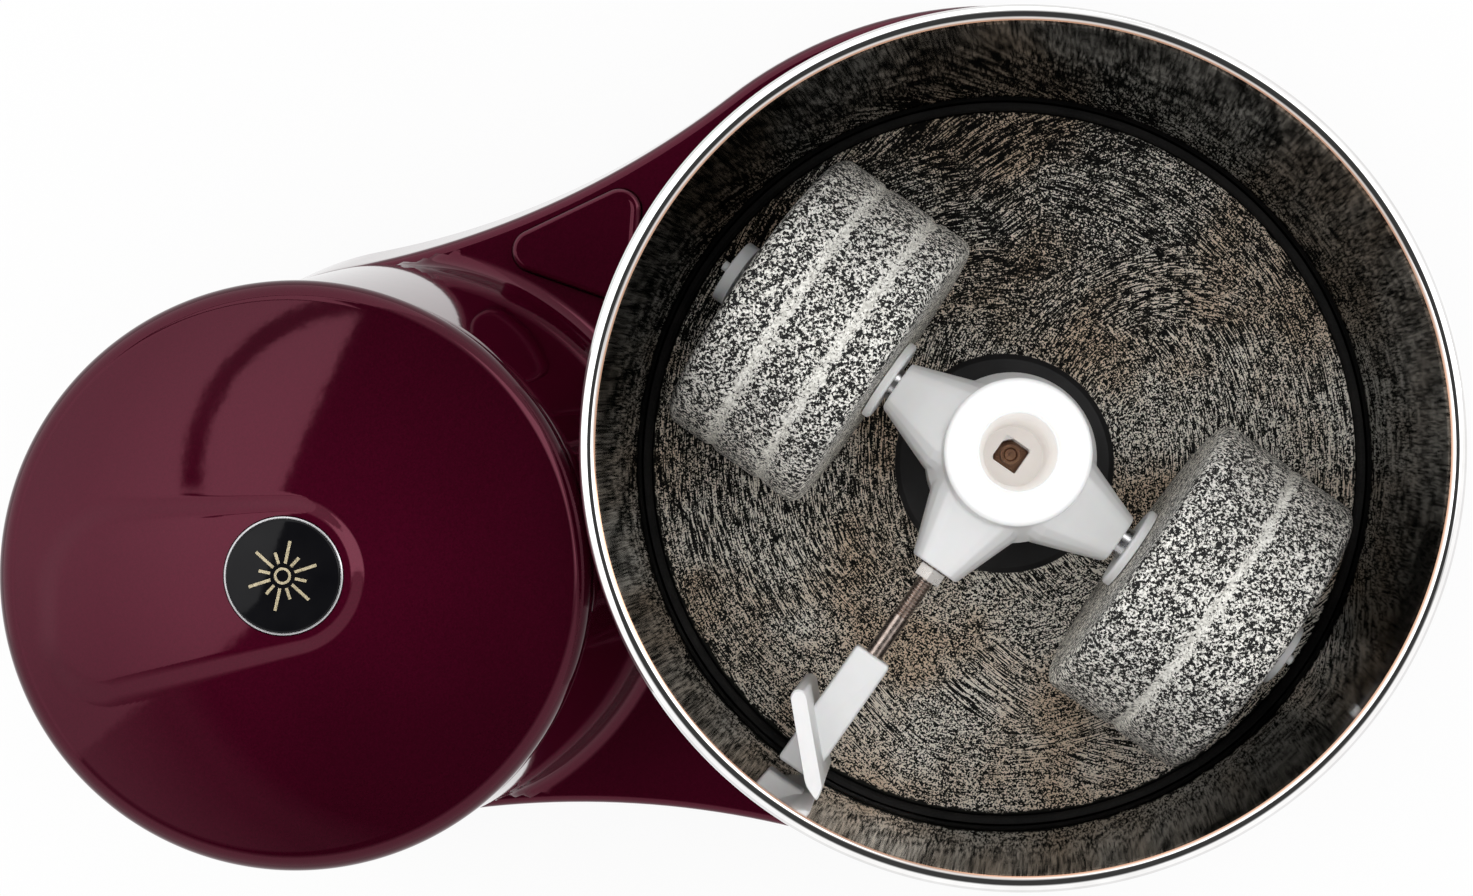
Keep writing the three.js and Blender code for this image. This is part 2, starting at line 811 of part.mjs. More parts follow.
function turntable() {
  const plate = turned([
    [pulleyBore, driveTop + seatGap], [turntableNeck, driveTop + seatGap], [turntableNeck, tableLow],
    [turntableRadius, tableLow], [turntableRadius, tableTop], [pulleyBore, tableTop],
  ], mediumCount);
  return joined(plate, ...atLugs(disc(lugRadius, tableLow + overrun, tableTop + lugHeight, tinyCount)));
}

piece("turntable", turntable(), castAlloy);

function beltLoop(bigRadius, littleRadius, Kind) {
  const lean = Math.acos((bigRadius - littleRadius) / towerX);
  return new Kind()
    .absarc(0, 0, bigRadius, lean, 2 * Math.PI - lean, false)
    .absarc(towerX, 0, littleRadius, -lean, lean, false)
    .closePath();
}

const grooveFloor = pulleyRim - grooveDepth;
const motorGrooveFloor = motorPulleyRadius - grooveDepth;
const beltShape = beltLoop(grooveFloor + beltClearance + beltDepth,
  motorGrooveFloor + beltClearance + beltDepth, THREE.Shape);
beltShape.holes.push(beltLoop(grooveFloor + beltClearance, motorGrooveFloor + beltClearance, THREE.Path));
piece("drive_belt", prism(beltShape, beltMiddle - beltWidth / 2, beltMiddle + beltWidth / 2, smallCount),
  blackRubber);

// Motor on its cast mount, shaft down, in the tower

const boltAngles = [45, 135, 225, 315];
const boltPlaces = boltAngles.map(THREE.MathUtils.degToRad).map((angle) => [
  boltCircle * Math.cos(angle), boltCircle * Math.sin(angle)]);

function motorMount() {
  const half = mountLegApart / 2;
  const plate = prism(roundedRectangle(mountSize, mountSize, mountLeg / 2),
    motorMountTop - mountThickness, motorMountTop, cornerSteps);
  const tab = block(capacitorX - capacitorRadius, mountLeg - half, -capacitorRadius, capacitorRadius,
    motorMountTop - mountThickness, motorMountTop);
  const legs = [[-half, -half], [half, -half], [half, half], [-half, half]].map(([x, y]) =>
    block(x - mountLeg / 2, x + mountLeg / 2, y - mountLeg / 2, y + mountLeg / 2,
      plateHigh + seatGap, motorMountTop - mountThickness / 2));
  return cut(
    joined(plate, tab, ...legs),
    disc(mountHole, motorMountTop - mountThickness - overrun, motorMountTop + overrun, smallCount),
    ...boltPlaces.map(([x, y]) => shifted(
      disc(boltRadius + seatGap, motorMountTop - mountThickness - overrun, motorMountTop + overrun,
        boltCount), x, y, 0)),
  );
}

piece("motor_mount", motorMount(), castAlloy, tower);

const lowerBell = motorMountTop + seatGap;
const statorLow = lowerBell + bellHeight + seatGap;
const statorHigh = statorLow + statorHeight;
const upperBell = statorHigh + seatGap;
const upperBellTop = upperBell + bellHeight;

// One bell, its closed end down, with four ears for the through bolts
function bell() {
  const cup = turned([
    [shaftRadius + turnGap, 0], [bellRadius, 0], [bellRadius, bellHeight],
    [bellRadius - bellWall, bellHeight], [bellRadius - bellWall, bellWall], [bellBoss, bellWall],
    [bellBoss, bellWall + bellBossHeight],
    [shaftRadius + turnGap, bellWall + bellBossHeight],
  ], mediumCount);
  const ear = joined(
    shifted(disc(earRadius, 0, bellHeight, tinyCount), boltCircle, 0, 0),
    block(bellRadius - bellWall / 2, boltCircle, -earRadius, earRadius, 0, bellHeight),
  );
  const holes = boltPlaces.map(([x, y]) =>
    shifted(disc(boltRadius + seatGap, -overrun, bellHeight + overrun, boltCount), x, y, 0));
  return cut(joined(cup, ...boltAngles.map((turn) => around(ear, turn))), ...holes);
}

const bellShape = bell();
piece("motor_bell_lower", bellShape, castAlloy, tower).position.z = lowerBell;
const upper = piece("motor_bell_upper", bellShape, castAlloy, tower);
upper.position.z = upperBellTop;
upper.rotation.x = Math.PI;

const statorShape = roundedRectangle(statorSize, statorSize, statorCorner);
statorShape.holes.push(circlePath(0, 0, statorBore));
boltPlaces.forEach(([x, y]) => statorShape.holes.push(circlePath(x, y, boltRadius + seatGap)));
piece("stator", prism(statorShape, statorLow, statorHigh, boltCount), darkSteel, tower);

const winding = ring(windingInner, windingOuter, 0, windingHeight, mediumCount);
piece("winding_lower", winding, copper, tower).position.z = statorLow - seatGap - windingHeight;
piece("winding_upper", winding, copper, tower).position.z = statorHigh + seatGap;

const boltTop = upperBellTop + seatGap;
const motorBolt = turned([
  [0, motorMountTop - mountThickness], [boltRadius, motorMountTop - mountThickness], [boltRadius, boltTop],
  [boltHead, boltTop], [boltHead, boltTop + boltHeadHeight], [0, boltTop + boltHeadHeight],
], boltCount);
boltPlaces.forEach(([x, y], i) =>
  piece(`motor_bolt_${i + 1}`, motorBolt, steel, tower).position.set(x, y, 0));

piece("capacitor", disc(capacitorRadius, lowerBell, lowerBell + capacitorHeight, smallCount), greyPlastic,
  tower).position.x = capacitorX;

// Rotor: shaft, core, fan and the little pulley

const shaftTop = upperBellTop + shaftAboveBell;
piece("rotor_shaft", disc(shaftRadius, shaftLow, shaftTop, smallCount), steel, tower);
piece("rotor_core", ring(shaftRadius + seatGap, rotorRadius, statorLow, statorHigh, mediumCount), castAlloy,
  tower);
piece("motor_pulley", turned([
  [shaftRadius + seatGap, rimLow], ...grooved(motorPulleyRadius, shaftRadius + seatGap),
], smallCount), darkSteel, tower);

function coolingFan() {
  const low = boltTop + boltHeadHeight + turnGap;
  const high = low + fanDisc;
  const blades = Array.from({ length: fanBladeCount }, (_, i) => around(
    block(fanHub - fanDisc, fanRadius - fanDisc, -fanBladeWall / 2, fanBladeWall / 2,
      high - fanDisc / 2, high + fanBlade), (360 * i) / fanBladeCount));
  const plate = disc(fanRadius, low, high, smallCount);
  const hub = disc(fanHub, low, high + fanBlade, smallCount);
  return cut(joined(plate, hub, ...blades),
    disc(shaftRadius + seatGap, low - overrun, high + fanBlade + overrun, smallCount));
}

piece("cooling_fan", coolingFan(), blackPlastic, tower);

// Lid of the tower, with a raised tongue and a badge in its round end

const lidTop = lidWaist + lidEdge + lidDome;
const lidEdgeCentre = lidRadius - lidEdge;
const tongueTop = lidTop + tongueRise;
const badgeSeat = tongueTop - badgeSink;

// The lid's skin from its middle to its widest ring, lowered by a drop or raised by one below zero
function lidSkin(drop, domeSteps, edgeSteps) {
  const dome = Array.from({ length: domeSteps }, (_, i) => (lidEdgeCentre * i) / domeSteps);
  const edge = arcPoints(lidEdgeCentre, lidWaist, lidEdge - drop, Math.PI / 2, 0, edgeSteps);
  return [
    ...dome.map((radius) => [radius, lidTop - drop - lidDome * (radius / lidEdgeCentre) ** 2]),
    ...edge.map(({ x, y }) => [x, y]),
  ];
}

function motorCover() {
  const low = seamHeight + lidSeam;
  const lipOuter = towerTopRadius - shellWall - seatGap;
  const outer = lidSkin(0, lidDomeSteps, lidEdgeSteps);
  const inner = lidSkin(lidWall, lidDomeSteps - 1, 1).reverse();
  const shell = turned([
    ...outer,
    [lidRadius - lidSeam / 2, low],
    [lipOuter, low], [lipOuter, seamHeight - lidLip], [lipOuter - lipWall, seamHeight - lidLip],
    [lipOuter - lipWall, low],
    ...inner,
  ], largeCount);
  const tongue = around(prism(outlineRound([
    { x: 0, y: 0, radius: tongueEndRadius },
    { x: tongueFrontX, y: tongueFrontY, radius: tongueFrontRadius },
    { x: tongueRearX, y: tongueRearY, radius: tongueRearRadius },
  ]), lidWaist, tongueTop + overrun, tinyCount), tongueAngle);
  const layer = turned([
    ...lidSkin(-tongueRise, lidDomeSteps, 1), ...lidSkin(lidWall / 2, lidDomeSteps, 1).reverse(),
  ], largeCount);
  return cut(joined(shell, common(tongue, layer)),
    disc(badgeRadius + seatGap, badgeSeat, tongueTop + overrun, mediumCount));
}

piece("motor_cover", motorCover(), cherry, tower);

const badgeLow = badgeSeat + seatGap;
const badgeInner = badgeRadius - badgeRimWidth;
piece("badge", disc(badgeInner - seatGap, badgeLow, badgeLow + badgeHeight, mediumCount), blackPlastic,
  tower);
piece("badge_rim", ring(badgeInner, badgeRadius, badgeLow, badgeLow + badgeHeight - badgeRimDrop,
  mediumCount), steel, tower);

// Drum: everything here turns with the turntable and lifts off it

const rimTop = stoneTop + drumDepth;

function drumShell() {
  const beadZ = rimTop - beadRadius;
  const inner = Math.acos((drumRadius - beadX) / beadRadius);
  const outer = -Math.acos((drumRadius + drumWall - beadX) / beadRadius);
  const bead = arcPoints(beadX, beadZ, beadRadius, 2 * Math.PI - inner, outer, beadSteps);
  const bore = tubeRadius + seatGap;
  return turned([
    [bore, panTop], [drumRadius - drumCorner, panTop], [drumRadius, panTop + drumCorner],
    ...bead.map(({ x, y }) => [x, y]),
    [drumRadius + drumWall, panTop + drumCorner], [drumRadius + drumWall - drumCorner, panBottom],
    [bore, panBottom],
  ], largeCount);
}

piece("drum_shell", drumShell(), steel);
piece("base_stone", ring(stoneBore, stoneRadius, stoneLow, stoneTop, largeCount), floorGranite);
piece("ring_seal", turned([
  [stoneRadius + seatGap, stoneLow + drumCorner], [drumRadius - seatGap, stoneLow + drumCorner],
  [drumRadius - seatGap, stoneTop + sealRise], [stoneRadius + seatGap, stoneTop + seatGap],
], largeCount), blackRubber);
piece("centre_tube", ring(tubeRadius - tubeWall, tubeRadius, panTop, hubWebLow - tubeClearance,
  smallCount), steel);
piece("centre_boss", turned([
  [tubeRadius + seatGap, stoneLow], [stoneBore - seatGap, stoneLow],
  [stoneBore - seatGap, stoneTop + seatGap],
  [bossRadius, stoneTop + seatGap], [bossRadius - bossThickness, stoneTop + seatGap + bossThickness],
  [tubeRadius + bossCollarWall, stoneTop + seatGap + bossThickness],
  [tubeRadius + bossCollarWall, stoneTop + bossCollar], [tubeRadius + seatGap, stoneTop + bossCollar],
], mediumCount), blackPlastic);
piece("drum_coupler", cut(ring(couplerBore, couplerRadius, couplerLow, couplerTop, mediumCount),
  ...atLugs(disc(lugRadius + turnGap, couplerLow - overrun, couplerTop + overrun, tinyCount))), blackPlastic);

// Roller holder: a hub with three arms, fixed on the spindle's square

function arm() {
  const section = (width, sink, rise, along) => {
    const half = width / 2;
    const [low, high] = [axleHeight - sink, axleHeight + rise];
    const drop = (high - low) * armDropShare;
    const points = [
      [low, -half], [high - drop, -half], [high, -half * armTopShare],
      [high, half * armTopShare], [high - drop, half], [low, half],
    ].map(([x, y]) => new THREE.Vector2(x, y));
    return { points, height: along };
  };
  return laid(loft([
    section(armRootWidth, armRootSink, armRootRise, hubCavity + 2 * seatGap),
    section(armRootWidth, armRootSink, armRootRise, armRoot),
    section(armTipWidth, armTipSink, armTipRise, armReach),
  ]));
}

// The axles' line passes the hub's middle on the scraper's side
const oppositeAngle = axleAngle + halfTurnDegrees;
const offsetAngle = THREE.MathUtils.degToRad(scraperAngle);
const [axleX, axleY] = [axleOffset * Math.cos(offsetAngle), axleOffset * Math.sin(offsetAngle)];

function hub() {
  const boreFloor = hubTop - hubBoreDepth;
  const skirtFoot = stoneTop + bossCollar + skirtLift;
  const threadStep = (hubBoreDepth - 2 * hubEdge) / (2 * hubThreadCount);
  const thread = Array.from({ length: 2 * hubThreadCount }, (_, i) => [
    hubBoreRadius - (i % 2) * hubThreadDepth - ((hubBoreRadius - hubBoreLow) * i) / (2 * hubThreadCount),
    hubTop - hubEdge - threadStep * (i + 1 / 2)]);
  const body = turned([
    [0, boreFloor], [hubBoreLow, boreFloor], ...thread.reverse(), [hubBoreRadius + hubEdge, hubTop],
    [hubRadius - hubEdge, hubTop], [hubRadius, hubTop - hubEdge], [hubRadius, axleHeight + hubNeckRise],
    [hubSkirtRadius, axleHeight + hubShoulderRise], [hubSkirtRadius, skirtFoot], [hubCavity, skirtFoot],
    [hubCavity, hubWebLow], [0, hubWebLow],
  ], mediumCount);
  const arms = [
    shifted(around(arm(), axleAngle), axleX, axleY, 0),
    shifted(around(arm(), oppositeAngle), axleX, axleY, 0),
    around(arm(), scraperAngle),
  ];
  const squareSize = spindleSquare + 2 * seatGap;
  const squareHole = around(prism(roundedRectangle(squareSize, squareSize, seatGap),
    hubWebLow - overrun, boreFloor + overrun, squareSteps), scraperAngle);
  const hole = (radius, sink, turn, x, y) => shifted(around(laid(
    disc(radius + seatGap, armReach - sink, armReach + overrun, tinyCount)), turn), x, y, axleHeight);
  return cut(joined(body, ...arms), squareHole,
    hole(axleRadius, axleSink, axleAngle, axleX, axleY),
    hole(axleRadius, axleSink, oppositeAngle, axleX, axleY),
    hole(rodRadius, rodSink, scraperAngle, 0, 0));
}

piece("hub", hub(), nylon, holder);

// A roller, its bush, axle and cap along one arm

function rollerProfile() {
  const half = rollerWidth / 2;
  const grooveReach = (rollerWidth * grooveApartShare) / 2;
  const corner = arcPoints(rollerRadius - rollerEdge, rollerEdge, rollerEdge, -Math.PI / 2, 0, cornerSteps)
    .map(({ x, y }) => [x, y]);
  const groove = (middle) => [
    [rollerRadius, middle - grooveWidth / 2], [rollerRadius - grooveSink, middle],
    [rollerRadius, middle + grooveWidth / 2]];
  return [
    [rollerBore, 0], ...corner, ...groove(half - grooveReach), ...groove(half + grooveReach),
    ...corner.map(([radius, along]) => [radius, rollerWidth - along]).reverse(), [rollerBore, rollerWidth],
  ];
}

const rollerStone = laid(turned(rollerProfile(), rollerCount));
const bushBore = axleRadius + seatGap;
const rollerBush = laid(turned([
  [bushBore, -seatGap - flangeWidth], [flangeRadius, -seatGap - flangeWidth], [flangeRadius, -seatGap],
  [rollerBore - seatGap, -seatGap], [rollerBore - seatGap, rollerWidth], [bushBore, rollerWidth],
], smallCount));
const capStart = rollerWidth + capPlay;
const capEnd = capStart + capWidth;
const axleEnd = capEnd - capFloor - seatGap;
const retainingCap = laid(turned([
  [0, capEnd - capFloor], [bushBore, capEnd - capFloor], [bushBore, capStart], [capRadius, capStart],
  [capRadius, capEnd], [nubRadius, capEnd], [nubRadius, capEnd + nubLength], [0, capEnd + nubLength],
], smallCount));

function rollerUnit(side, turn, play) {
  const unit = new THREE.Group();
  unit.rotation.z = THREE.MathUtils.degToRad(turn);
  unit.position.set(axleX, axleY, axleHeight);
  holder.add(unit);
  const axle = laid(disc(axleRadius, armReach - axleSink + seatGap - rollerStart, axleEnd, tinyCount));
  piece(`roller_${side}`, rollerStone, rollerGranite, unit).position.x = rollerStart + play;
  piece(`roller_bush_${side}`, rollerBush, nylon, unit).position.x = rollerStart + play;
  piece(`roller_axle_${side}`, axle, steel, unit).position.x = rollerStart;
  piece(`roller_cap_${side}`, retainingCap, nylon, unit).position.x = rollerStart;
}

rollerUnit("left", axleAngle, leftPlay);
rollerUnit("right", oppositeAngle, rightPlay);

// Scraper: rod with its lock nut, block and tall oblique paddle

const scraper = new THREE.Group();
scraper.rotation.z = THREE.MathUtils.degToRad(scraperAngle);
scraper.position.z = axleHeight;
holder.add(scraper);

const rodStart = armReach - rodSink + seatGap;
const rodEnd = scraperBlockStart + rodSink - seatGap;
const nutStart = armReach + seatGap;
const threadStart = nutStart + nutWidth;

function scraperRod() {
  const ridges = Array.from({ length: threadCount }, (_, i) => threadStart + i * threadPitch)
    .flatMap((along) => [[rodRadius - threadDepth, along], [rodRadius, along + threadPitch / 2]]);
  return laid(turned([
    [0, rodStart], [rodRadius - threadDepth, rodStart], ...ridges,
    [rodRadius, threadStart + threadCount * threadPitch], [rodRadius, rodEnd], [0, rodEnd],
  ], tinyCount));
}

piece("scraper_rod", scraperRod(), steel, scraper);
const nutCorner = nutFlats / Math.sqrt(3);
piece("scraper_nut", laid(ring(rodRadius + seatGap, nutCorner, nutStart, nutStart + nutWidth, boltCount)),
  steel, scraper);

function scraperPaddle() {
  const half = scraperBlock / 2;
  const low = axleHeight - scraperBlockHeight / 2;
  const blockSolid = around(
    block(scraperBlockStart, scraperBlockEnd, -half, half, low, low + scraperBlockHeight), scraperAngle);
  const angle = THREE.MathUtils.degToRad(scraperAngle);
  const plateX = scraperBlockEnd * Math.cos(angle) - paddleBack;
  const blockEndY = scraperBlockEnd * Math.sin(angle);
  const [innerY, outerY] = [blockEndY - paddleInnerReach, blockEndY + paddleOuterReach];
  const [halfWall, faceX] = [paddleWall / 2, plateX + paddleWall];
  const plate = new THREE.Shape([
    [plateX, innerY + halfWall], [plateX + halfWall / 2, innerY], [faceX - halfWall / 2, innerY],
    [faceX, innerY + halfWall], [faceX, outerY - paddleWall],
    [plateX + halfWall, outerY], [plateX, outerY - halfWall],
  ].map(([x, y]) => new THREE.Vector2(x, y)));
  const hole = shifted(around(laid(disc(rodRadius + seatGap, scraperBlockStart - overrun,
    scraperBlockStart + rodSink, tinyCount)), scraperAngle), 0, 0, axleHeight);
  return cut(joined(blockSolid, prism(plate, stoneTop + paddleLift, rimTop - paddleTopDrop)), hole);
}

piece("scraper_paddle", scraperPaddle(), nylon, holder);

// Press button in the base top, with its spring, switch and bracket

const padTop = baseTop + padRise;
const padLow = padTop - padThickness;

function pressButton() {
  const cap = loft([
    { points: padShape(0).getPoints(padSteps), height: padLow },
    { points: padShape(0).getPoints(padSteps), height: padTop - padBevel },
    { points: padShape(-padBevel).getPoints(padSteps), height: padTop },
  ]);
  const stem = disc(stemRadius, pressSwitchTop + padTravel + 2 * seatGap, padLow + overrun, tinyCount);
  return joined(cap, shifted(stem, stemX, stemY, 0));
}

piece("press_button", pressButton(), cherry);

const pressSwitch = piece("press_switch", block(-pressSwitchLength / 2, pressSwitchLength / 2,
  -pressSwitchDepth / 2, pressSwitchDepth / 2, pressSwitchTop - pressSwitchHeight, pressSwitchTop),
blackPlastic);
pressSwitch.position.set(stemX, stemY, 0);

function pressBracket() {
  const [halfLength, halfDepth] = [pressSwitchLength / 2, pressSwitchDepth / 2];
  const shelf = pressSwitchTop - pressSwitchHeight - seatGap;
  return joined(
    block(-halfLength, halfLength, -halfDepth, halfDepth, shelf - pressBracketWall, shelf),
    block(-halfLength, halfLength, -pressBracketWall / 2, pressBracketWall / 2, bracketLow,
      shelf - pressBracketWall / 2),
    block(-halfLength, halfLength, -halfDepth, halfDepth, bracketLow, bracketLow + pressBracketWall),
  );
}

piece("press_bracket", pressBracket(), castAlloy).position.set(stemX, stemY, 0);

class Coil extends THREE.Curve {
  constructor(radius, low, high, turns) {
    super();
    Object.assign(this, { radius, low, high, turns });
  }

  getPoint(share, target = new THREE.Vector3()) {
    const angle = 2 * Math.PI * this.turns * share;
    return target.set(this.radius * Math.cos(angle), this.radius * Math.sin(angle),
      this.low + (this.high - this.low) * share);
  }
}

const springLow = pressSwitchTop + springWire + seatGap;
const springHigh = padLow - springWire - seatGap;
const springCoil = new Coil(springRadius, springLow, springHigh, springCoilCount);
piece("press_spring", tube(springCoil, springWire, springSides, springCoilCount * springSteps), steel)
  .position.set(stemX, stemY, 0);

// The least gap between the spring's turns, measured on its points
function leastCoilGap(coil, wire, steps) {
  const points = coil.getPoints(coil.turns * steps);
  let least = Infinity;
  points.forEach((point, i) => points.slice(i + Math.ceil(steps / 2)).forEach((other) => {
    least = Math.min(least, point.distanceTo(other) - 2 * wire);
  }));
  return least;
}

console.log("least gap of the press spring to itself, mm:",
  leastCoilGap(springCoil, springWire, springSteps).toFixed(2));

// Power switch in the outer wall of the tower

const rockerPivot = switchBezelThickness - rockerPivotDepth;

function switchHousing() {
  const bezel = switchBox(switchBezel, switchBezelThickness / 2 + seatGap,
    switchBezelThickness / 2 + seatGap + switchBezelThickness);
  const box = switchBox(0, -switchDepth, switchBezelThickness);
  const cavity = switchBox(-switchCavityMargin, -switchCavityDepth, 2 * switchBezelThickness + overrun);
  return cut(joined(bezel, box), cavity);
}

piece("switch_housing", atSwitch(switchHousing()), blackPlastic);

// The rocker: two faces that meet in a hollow, on a keel, swinging about the tower's Y direction
function switchRocker() {
  const half = rockerTall / 2;
  const dip = half * Math.sin(THREE.MathUtils.degToRad(rockerAngle / 2));
  const front = 2 * switchBezelThickness;
  const outline = new THREE.Shape([
    [-half, front - rockerThickness], [-rockerKeel / 2, front - rockerThickness],
    [-rockerKeel / 2, front - rockerThickness - rockerKeel],
    [rockerKeel / 2, front - rockerThickness - rockerKeel], [rockerKeel / 2, front - rockerThickness],
    [half, front - rockerThickness], [half, front + dip], [0, front - dip / 2], [-half, front + dip],
  ].map(([x, y]) => new THREE.Vector2(x, y)));
  return prism(outline, -rockerWidth / 2, rockerWidth / 2).rotateX(Math.PI / 2);
}

const rockerTilt = new THREE.Matrix4().makeRotationY(THREE.MathUtils.degToRad(rockerAngle / 2));
piece("switch_rocker", atSwitch(switchRocker().translate(0, 0, -rockerPivot).applyMatrix4(rockerTilt)
  .translate(0, 0, rockerPivot)), blackPlastic);

// Cord gland in the rear wall, terminal block and the inner leads

const glandFace = glandCircle.radius + seatGap;
piece("cord_gland", atGland(turned([
  [glandBore, glandFace - glandInside], [glandRadius, glandFace - glandInside], [glandRadius, glandFace],
  [glandFlange, glandFace], [glandFlange, glandFace + glandFlangeWidth],
  [glandRadius, glandFace + glandFlangeWidth], [glandRadius - footTaper / 2, glandFace + glandNose],
  [glandBore, glandFace + glandNose],
], smallCount)), blackRubber);

const terminalTop = bracketLow + terminalHeight;
piece("terminal_block", block(terminalX - terminalDepth / 2, terminalX + terminalDepth / 2,
  -terminalLength / 2, terminalLength / 2, bracketLow, terminalTop), nylon, tower);

Object.entries({ supply_lead: supplyPlaces, motor_lead: motorPlaces, switch_lead: switchPlaces })
  .forEach(([name, places]) => {
    const points = places.map((place) => new THREE.Vector3(...place));
    piece(name, tube(points, leadRadius, leadSides, leadSteps), blackRubber, tower);
  });

// Origin in the middle of the footprint, under the feet
const footprint = baseCircles(shellFoot, 0);
machine.position.x = (footprint.drumEnd.radius - footprint.towerEnd.x - footprint.towerEnd.radius) / 2;
machine.position.y = -footprint.drumEnd.y;

export default group;
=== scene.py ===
import json
import math

import bmesh
import bpy
import numpy as np
from mathutils import Matrix, Vector, geometry


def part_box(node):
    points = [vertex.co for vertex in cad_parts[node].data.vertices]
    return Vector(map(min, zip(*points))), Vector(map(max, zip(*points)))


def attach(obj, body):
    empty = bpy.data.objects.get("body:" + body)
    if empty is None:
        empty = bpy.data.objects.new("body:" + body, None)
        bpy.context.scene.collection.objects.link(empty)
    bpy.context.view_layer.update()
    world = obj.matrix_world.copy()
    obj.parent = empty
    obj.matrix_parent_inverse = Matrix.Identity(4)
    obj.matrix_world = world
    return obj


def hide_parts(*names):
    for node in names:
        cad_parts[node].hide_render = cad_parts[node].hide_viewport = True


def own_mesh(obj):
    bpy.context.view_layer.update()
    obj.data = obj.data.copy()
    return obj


# Table top wet grinder seen from straight above, tower on the left, drum on the right.
# Shapes are made in millimetres in the machine's own frame (drum axis at x = 0, y = 0)
# and shifted into the part's frame, in metres, when they become objects.

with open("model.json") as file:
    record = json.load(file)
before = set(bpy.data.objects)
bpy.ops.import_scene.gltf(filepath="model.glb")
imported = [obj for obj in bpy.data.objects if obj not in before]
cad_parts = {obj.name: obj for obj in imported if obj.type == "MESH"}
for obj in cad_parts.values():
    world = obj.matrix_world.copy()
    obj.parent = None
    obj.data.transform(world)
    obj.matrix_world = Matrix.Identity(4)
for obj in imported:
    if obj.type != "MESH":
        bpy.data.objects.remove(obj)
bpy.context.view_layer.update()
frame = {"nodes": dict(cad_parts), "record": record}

MM = 0.001
SHIFT = np.array([-75.5, 17.0, 0.0])
TOWER_X = 202.5
STONE_TOP = 100.0
BASE_TOP = 70.0
SEAM = 195.0
SHELL_FOOT = 5.0
SHELL_WALL = 2.8
AXLE_TURN = -44.7
SCRAPER_TURN = 45.3
ROLLER_R = 47.0
ROLLER_W = 47.5
ROLLER_START = 43.4
CAP_START = 53.8
PLAY = (1.4, 2.6)
GROOVES = ((13.5, 31.0), (24.4,))
GROOVE_PLACES = [sign * (ROLLER_START + play + groove)
                 for sign, play, grooves in zip((1, -1), PLAY, GROOVES) for groove in grooves]
AXLE_Z = STONE_TOP + 0.3 + ROLLER_R
AXLE_SIDE = 1.8
SWITCH_PLACE = (289.7, -6.0, 120.0)
SWITCH_LEAN = 5.48
ARM_REACH = 40.2


# ---- mesh helpers: a mesh is (points in mm, faces) ----

def full_turn(count):
    """Even angles round a full turn."""
    return np.linspace(0, 2 * math.pi, count, endpoint=False)


def quarter(count):
    """Even angles from none to a right angle."""
    return np.linspace(0, math.pi / 2, count)


def turn_z(degrees):
    """The matrix of a turn round Z."""
    angle = math.radians(degrees)
    c, s = math.cos(angle), math.sin(angle)
    return np.array([[c, -s, 0.0], [s, c, 0.0], [0.0, 0.0, 1.0]])


# lays a part turned round Z down along X
LAID = np.array([[0.0, 0.0, 1.0], [0.0, -1.0, 0.0], [1.0, 0.0, 0.0]])


def moved(mesh, offset=(0, 0, 0), turn=None):
    """A mesh turned by a matrix and then shifted."""
    points, faces = mesh
    points = np.asarray(points, float)
    if turn is not None:
        points = points @ np.asarray(turn).T
    return points + np.array(offset, float), faces


def merged(*meshes):
    """Several meshes as one."""
    points, faces, start = [], [], 0
    for part_points, part_faces in meshes:
        points.append(np.asarray(part_points, float))
        faces += [tuple(i + start for i in face) for face in part_faces]
        start += len(part_points)
    return np.vstack(points), faces


def rounded(corners, steps=5):
    """Corners (r, z) or (r, z, radius) of a profile: those with a radius are rounded."""
    out, count = [], len(corners)
    for i, corner in enumerate(corners):
        p = np.array(corner[:2], float)
        radius = corner[2] if len(corner) > 2 else 0
        if not radius or i in (0, count - 1):
            out.append(tuple(p))
            continue
        a, b = (np.array(corners[j][:2], float) - p for j in (i - 1, i + 1))
        la, lb = np.hypot(*a), np.hypot(*b)
        a, b = a / la, b / lb
        half = math.acos(max(-1, min(1, float(a @ b)))) / 2
        reach = min(radius / max(math.tan(half), 1e-3), la * 0.49, lb * 0.49)
        for k in range(steps + 1):
            t = k / steps
            out.append(tuple(p + a * reach * (1 - t) ** 2 + b * reach * t ** 2))
    return out


def lathe(profile, count, ring=False):
    """A profile of (r, z) turned round Z; with ring, its last point joins its first."""
    angles = full_turn(count)
    points, rows = [], []
    for radius, height in profile:
        if radius < 1e-6:
            rows.append([len(points)] * count)
            points.append((0, 0, height))
        else:
            rows.append(list(range(len(points), len(points) + count)))
            points += [(radius * math.cos(a), radius * math.sin(a), height) for a in angles]
    faces = []
    pairs = list(zip(rows, rows[1:])) + ([(rows[-1], rows[0])] if ring else [])
    for low, high in pairs:
        for i in range(count):
            j = (i + 1) % count
            face = []
            for k in (low[i], low[j], high[j], high[i]):
                if k not in face:
                    face.append(k)
            if len(face) > 2:
                faces.append(tuple(face))
    return np.array(points, float), faces


def loft(rings, close_low=True, close_high=True):
    """Rings of equally many (x, y, z) points joined by walls."""
    count = len(rings[0])
    points = np.vstack([np.asarray(ring, float) for ring in rings])
    faces = []
    for level in range(len(rings) - 1):
        a, b = level * count, (level + 1) * count
        faces += [(a + i, a + (i + 1) % count, b + (i + 1) % count, b + i) for i in range(count)]
    if close_low:
        faces.append(tuple(reversed(range(count))))
    if close_high:
        faces.append(tuple(range((len(rings) - 1) * count, len(rings) * count)))
    return points, faces


def lift(outline, height):
    """A flat outline as points at a height."""
    return np.column_stack([outline, np.full(len(outline), float(height))])


def arc(x, y, radius, start, end, steps):
    """Points (x, y) along an arc."""
    angles = np.linspace(start, end, steps + 1)
    return np.column_stack([x + radius * np.cos(angles), y + radius * np.sin(angles)])


